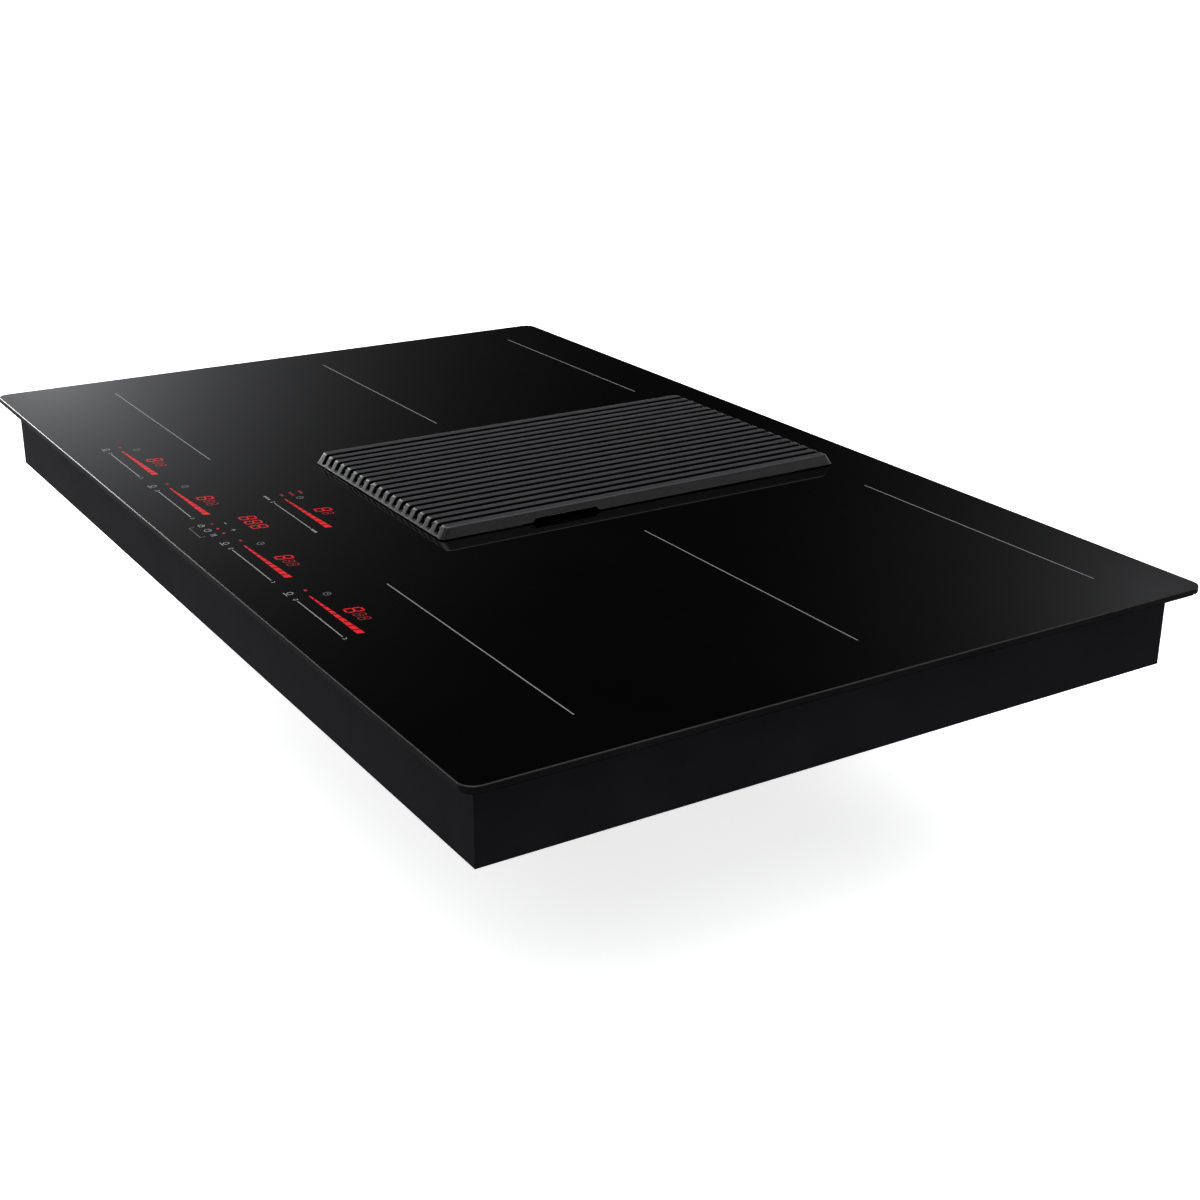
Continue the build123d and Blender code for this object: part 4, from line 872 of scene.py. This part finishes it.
def slatShape(spec):
    # one slat from its side view: leaning legs, rounded knees, feet sunk in the end rails
    y0, y1 = grilleLow[1], grilleHigh[1]
    tilt = spec["lean"] / spec["height"]
    foot = grilleFoot + spec["rail"] - spec["slatSink"]
    under = grilleTop - spec["roof"]
    step = (foot - grilleFoot) * tilt
    rise = (under - grilleFoot) * tilt
    outer = [(y0 + step, foot), (y0 + spec["lean"], grilleTop),
             (y1 - spec["lean"], grilleTop), (y1 - step, foot)]
    inner = [(y1 - step - spec["wall"], foot), (y1 - rise - spec["wall"], under),
             (y0 + rise + spec["wall"], under), (y0 + step + spec["wall"], foot)]
    bm = bmesh.new()
    half = spec["slatWidth"] / 2
    face = bm.faces.new([bm.verts.new((-half, y, z)) for y, z in outer + inner])
    bevelCorners(bm, [v for v in face.verts if v.co.z > grilleTop - hair], *spec["knee"])
    made = bmesh.ops.extrude_face_region(bm, geom=bm.faces[:])["geom"]
    bmesh.ops.translate(bm, vec=(2 * half, 0, 0), verts=vertsOf(made))
    bmesh.ops.recalc_face_normals(bm, faces=bm.faces)
    return bm


def crownEdges(bm, spec):
    # the long edges of the outside, from foot to foot over the top
    half = spec["slatWidth"] / 2
    tilt = spec["lean"] / spec["height"]

    def outside(v):
        reach = min(v.co.y - grilleLow[1], grilleHigh[1] - v.co.y) - (v.co.z - grilleFoot) * tilt
        return v.co.z > grilleTop - spec["knee"][0] or abs(reach) < legSlack

    return [edge for edge in bm.edges if abs(edge.verts[0].co.x - edge.verts[1].co.x) < half
            and all(outside(v) for v in edge.verts) and isSharp(edge)]


def flareFeet(bm, spec):
    # the feet widen towards the rail, so that each slot ends in a round
    levels = [(grilleFoot + spec["rail"] + height, reach) for height, reach in spec["flare"]]
    for level, reach in levels[1:]:
        bmesh.ops.bisect_plane(bm, geom=allOf(bm), plane_co=(0, 0, level), plane_no=(0, 0, 1), dist=hair)
    for v in bm.verts:
        for level, reach in levels:
            if v.co.z < level + hair:
                v.co.x += reach if v.co.x > 0 else -reach
                break


def slatRow(spec):
    bm = slatShape(spec)
    bevelEdges(bm, crownEdges(bm, spec), *spec["crown"])
    flareFeet(bm, spec)
    first = -(spec["slats"] - 1) / 2 * spec["pitch"]
    source = allOf(bm)
    for index in range(1, spec["slats"]):
        made = bmesh.ops.duplicate(bm, geom=source)["geom"]
        bmesh.ops.translate(bm, vec=(first + index * spec["pitch"], 0, 0), verts=vertsOf(made))
    bmesh.ops.translate(bm, vec=(first, 0, 0), verts=vertsOf(source))
    return bm


def addRibsAndLugs(bm, spec):
    reach = grilleHalfX - spec["ribEnd"]
    under = grilleTop - spec["roof"]
    thickness, length, distance = spec["lug"]
    for index in (-1, 0, 1):
        y = grilleMiddle + index * spec["ribPitch"]
        box(bm, (-reach, y - spec["ribWidth"] / 2, grilleFoot + spec["ribFoot"]),
            (reach, y + spec["ribWidth"] / 2, under + spec["ribSink"]))
        if index:
            for x in (-distance, distance):
                lug = box(bm, (x - thickness / 2, y - length / 2, grilleLow[2]),
                          (x + thickness / 2, y + length / 2, under + spec["lugSink"]))
                bevelEdges(bm, {edge for v in lug for edge in v.link_edges}, *spec["soft"])


def paintSlotShade(piece, spec):
    # the walls of the slots get a near-black painted shade for the shade that falls in them; the real walls
    # are the same enamel as the rest
    piece.data.materials.append(materials["paintedSlotShade"])
    for face in piece.data.polygons:
        inside = (abs(face.center.x) < grilleHalfX - spec["shade"]
                  and abs(face.center.y - grilleMiddle) < grilleHalfY - spec["shade"])
        face.material_index = int(inside and face.normal.z < spec["shadeTilt"])


def makeGrille(spec):
    body = grilleOutside(spec)
    for cutter in (grilleHollow(spec), slatSpan(spec), notchCutter(spec)):
        cutAway(body, cutter)
    softenEdges(body, *spec["soft"], spec["softAngle"])
    data = evaluated(body)
    bpy.data.objects.remove(body)
    bm = slatRow(spec)
    addRibsAndLugs(bm, spec)
    bm.from_mesh(data)
    piece = finishPiece("slattedGrille", bm, materials["grilleEnamel"], bodyOf["intake_grille"],
                        sharpAngle=40)
    paintSlotShade(piece, spec)
    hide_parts("intake_grille")
    print("grille faces:", len(piece.data.polygons))


makeGrille(grille)

meshLow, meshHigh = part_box("filter_mesh")
wireBasket = {
    "pitch": 3.6 * mm,
    "wire": 0.5 * mm,
    "corner": 9.0 * mm,
    "cornerSteps": 6,
    "flange": 4.0 * mm,
    "taper": 7.0 * mm,
    "rimHeight": 1.5 * mm,
    "rimEdge": (0.3 * mm, 2),   # width and steps of the bevel
}


def basketForm(spec):
    # the squares that the wires run round: a floor and four sides that widen upwards
    middleY = (meshLow[1] + meshHigh[1]) / 2
    halfX = (meshHigh[0] - meshLow[0]) / 2 - spec["flange"]
    halfY = (meshHigh[1] - meshLow[1]) / 2 - spec["flange"]
    floorX, floorY = halfX - spec["taper"], halfY - spec["taper"]
    floor = meshLow[2] + spec["wire"]
    top = meshHigh[2] - spec["rimHeight"] / 2
    bm = bmesh.new()
    bmesh.ops.create_grid(bm, x_segments=round(2 * floorX / spec["pitch"]),
                          y_segments=round(2 * floorY / spec["pitch"]), size=0.5)
    bmesh.ops.scale(bm, vec=(2 * floorX, 2 * floorY, 1), verts=bm.verts)
    bmesh.ops.translate(bm, vec=(0, middleY, floor), verts=bm.verts)
    steps = round((top - floor) / spec["pitch"])
    grow = spec["taper"] / steps
    edges = [edge for edge in bm.edges if edge.is_boundary]
    for step in range(steps):
        made = bmesh.ops.extrude_edge_only(bm, edges=edges)["geom"]
        verts = vertsOf(made)
        edges = [item for item in made if isinstance(item, bmesh.types.BMEdge) and item.is_boundary]
        before = [half + grow * step for half in (floorX, floorY)]
        bmesh.ops.translate(bm, vec=(0, 0, (top - floor) / steps), verts=verts)
        bmesh.ops.scale(bm, vec=(*((half + grow) / half for half in before), 1), verts=verts,
                        space=Matrix.Translation((0, -middleY, 0)))
    bmesh.ops.recalc_face_normals(bm, faces=bm.faces)
    return objectMesh("wires", bm)


def makeWireBasket(spec):
    wires = basketForm(spec)
    strands = wires.modifiers.new("strands", "WIREFRAME")
    strands.thickness = spec["wire"]
    strands.use_even_offset = False
    strands.use_boundary = True
    data = evaluated(wires)
    bpy.data.objects.remove(wires)
    piece = dressPiece("filterWire", data, materials["brushedSteel"], bodyOf["filter_mesh"],
                       sharpAngle=60)
    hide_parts("filter_mesh")
    print("filter wire faces:", len(data.polygons))


def makeFilterRim(spec):
    bm = bmesh.new()
    middleY = (meshLow[1] + meshHigh[1]) / 2
    width, depth = meshHigh[0] - meshLow[0], meshHigh[1] - meshLow[1]
    inset = 2 * spec["flange"]
    ringPlate(bm, (width, depth, spec["corner"], 0, middleY),
              (width - inset, depth - inset, spec["corner"] - spec["flange"], 0, middleY),
              meshHigh[2] - spec["rimHeight"], meshHigh[2], spec["cornerSteps"])
    bevelEdges(bm, [edge for edge in bm.edges if isSharp(edge)], *spec["rimEdge"])
    finishPiece("filterRim", bm, materials["brushedSteel"], bodyOf["filter_mesh"])


makeWireBasket(wireBasket)
makeFilterRim(wireBasket)

# the moulded and pressed pieces stand in as copies with softened edges, their widths in millimetres
softEdges = {
    "casing_base": 0.3, "casing_walls": 0.35, "intake_well": 0.4, "intake_collar": 0.3,
    "housing_upper": 0.5, "housing_lower": 0.5, "outlet_spigot": 0.4, "filter_basket": 0.25,
    "filter_grip": 0.6, "drip_tray": 0.35, "cable_gland": 0.5, "flap_upper": 0.3,
    "flap_lower": 0.3, "blower_impeller": 0.3, "rim_seal": 0.5,
}
softAngles = {"flat": 0.5, "sharp": 30, "bevelled": 38}   # in degrees
softSteps = 2


def softCopy(node, width):
    bm = bmesh.new()
    bm.from_mesh(frame["nodes"][node].data)
    bmesh.ops.remove_doubles(bm, verts=bm.verts, dist=hair)
    bmesh.ops.dissolve_limit(bm, angle_limit=radians(softAngles["flat"]), verts=bm.verts, edges=bm.edges)
    slot = slotOf[node]
    name = node + "_soft"
    piece = smoothObject(name, meshFrom(name, bm), materials[slotFinish[slot]], softAngles["sharp"])
    softenEdges(piece, width * mm, softSteps, softAngles["bevelled"]).harden_normals = True
    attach(piece, bodyOf[node])
    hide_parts(node)


for nodeName, width in softEdges.items():
    softCopy(nodeName, width)
print("soft copies made:", len(softEdges))

studio = {
    "radius": 12.0,
    "wallTop": 1.9,
    "cove": 1.0,
    "coveSteps": 6,
    "roundSteps": 96,
    "floorGap": 0.001,                # under the lowest point of the object
    "floorTone": (0.86, 0.86, 0.86),
    "darkPatch": 0.99,                # of the tone
    "patches": 3.0,
    "shine": 0.78,                    # what the camera, glossy pieces and glass see besides the lit floor
    "ambient": 0.001,
    "tint": (0.95, 0.96, 1.0),
    "leftGlow": {"turn": 75.6, "rise": 13.2, "edge": 0.6, "fade": 3.7, "strength": 0.76},
    "rightGlow": {"turn": 39.0, "rise": 20.9, "edge": 0.0, "fade": 3.74, "strength": 0.24},
    "topGlow": {"turn": 0.0, "rise": 90.0, "edge": 46.0, "fade": 3.0, "strength": 1.6},
}
lamps = {   # mirrored: whether glossy pieces show the lamp
    "leftLamp": {"place": (-3.05, -0.36, 0.8), "size": 1.1, "watts": 56.0, "mirrored": True},
    "rightLamp": {"place": (2.6, 0.9, 1.1), "size": 1.2, "watts": 8.0, "mirrored": False},
    "topLamp": {"place": (-0.2, -0.2, 2.6), "size": 1.8, "watts": 28.0, "mirrored": True},
}


def compute(tree, operation, *values):
    # a maths node whose inputs are sockets or plain numbers
    node = addNode(tree, "ShaderNodeMath", operation=operation)
    for socket, value in zip(node.inputs, values):
        if isinstance(value, bpy.types.NodeSocket):
            joinLink(tree, value, socket)
        else:
            socket.default_value = value
    return node.outputs["Value"]


def palePaper(spec):
    material, tree, shader = startMaterial("palePaper", rough=0.9)
    shader.inputs["Specular IOR Level"].default_value = 0.0
    light = spec["floorTone"]
    dark = tuple(channel * spec["darkPatch"] for channel in light)
    uneven = noise(tree, placed(tree), spec["patches"])
    joinLink(tree, twoTones(tree, uneven, dark, light), shader.inputs["Base Color"])
    rays = addNode(tree, "ShaderNodeLightPath").outputs
    seen = compute(tree, "MAXIMUM", rays["Is Camera Ray"], rays["Is Glossy Ray"])
    seen = compute(tree, "MAXIMUM", seen, rays["Is Transmission Ray"])
    shader.inputs["Emission Color"].default_value = (1, 1, 1, 1)
    joinLink(tree, compute(tree, "MULTIPLY", seen, spec["shine"]), shader.inputs["Emission Strength"])
    return material


def makeSweep(spec):
    # pale floor that turns up into a low wall all round
    floor = cadBox[0][2] - spec["floorGap"]
    flat, cove = spec["radius"] - spec["cove"], spec["cove"]
    profile = [(0.0, 0.0), (flat, 0.0)]
    for step in range(1, spec["coveSteps"] + 1):
        turn = pi / 2 * step / spec["coveSteps"]
        profile.append((flat + cove * sin(turn), cove * (1 - cos(turn))))
    profile.append((spec["radius"], spec["wallTop"]))
    bm = bmesh.new()
    verts = [bm.verts.new((x, 0, floor + z)) for x, z in profile]
    edges = [bm.edges.new(pair) for pair in zip(verts, verts[1:])]
    bmesh.ops.spin(bm, geom=verts + edges, cent=(0, 0, 0), axis=(0, 0, 1), angle=2 * pi,
                   steps=spec["roundSteps"], use_merge=True)
    bmesh.ops.remove_doubles(bm, verts=bm.verts, dist=hair)
    bmesh.ops.recalc_face_normals(bm, faces=bm.faces)
    sweep = objectMesh("sweep", bm)
    for face in sweep.data.polygons:
        face.use_smooth = True
    sweep.data.materials.append(palePaper(spec))


def glow(tree, direction, spec):
    # a soft round light in the world: full inside its edge, then fading with the angle
    turn, rise = radians(spec["turn"]), radians(spec["rise"])
    dot = addNode(tree, "ShaderNodeVectorMath", operation="DOT_PRODUCT")
    dot.inputs[1].default_value = (-sin(turn) * cos(rise), cos(turn) * cos(rise), sin(rise))
    joinLink(tree, direction, dot.inputs[0])
    angle = compute(tree, "ARCCOSINE", dot.outputs["Value"])
    faded = compute(tree, "MULTIPLY_ADD", angle, -1 / radians(spec["fade"]), spec["edge"] / spec["fade"])
    share = compute(tree, "MINIMUM", compute(tree, "EXPONENT", faded), 1.0)
    return compute(tree, "MULTIPLY", share, spec["strength"])


def makeWorld(spec):
    # the glows light the object and lie in its glass, while the camera sees white
    world = bpy.data.worlds.new("studioWorld")
    bpy.context.scene.world = world
    world.use_nodes = True
    tree = world.node_tree
    direction = addNode(tree, "ShaderNodeTexCoord").outputs["Generated"]
    light = spec["ambient"]
    for key in ("leftGlow", "rightGlow", "topGlow"):
        light = compute(tree, "ADD", glow(tree, direction, spec[key]), light)
    byCamera = addNode(tree, "ShaderNodeLightPath").outputs["Is Camera Ray"]
    background = tree.nodes["Background"]
    tone = twoTones(tree, byCamera, spec["tint"], (1, 1, 1), places=(0, 1))
    joinLink(tree, tone, background.inputs["Color"])
    joinLink(tree, compute(tree, "MAXIMUM", light, byCamera), background.inputs["Strength"])


def makeLamp(name, spec):
    data = bpy.data.lights.new(name, "AREA")
    data.shape = "SQUARE"
    data.size = spec["size"]
    data.energy = spec["watts"]
    lamp = placeObject(name, data)
    place = Vector(spec["place"])
    turned = (-place).to_track_quat("-Z", "Y").to_matrix().to_4x4()
    lamp.matrix_world = Matrix.Translation(place) @ turned
    lamp.visible_glossy = spec["mirrored"]


makeSweep(studio)
makeWorld(studio)
for lampName, lampSpec in lamps.items():
    makeLamp(lampName, lampSpec)
print("studio lit")
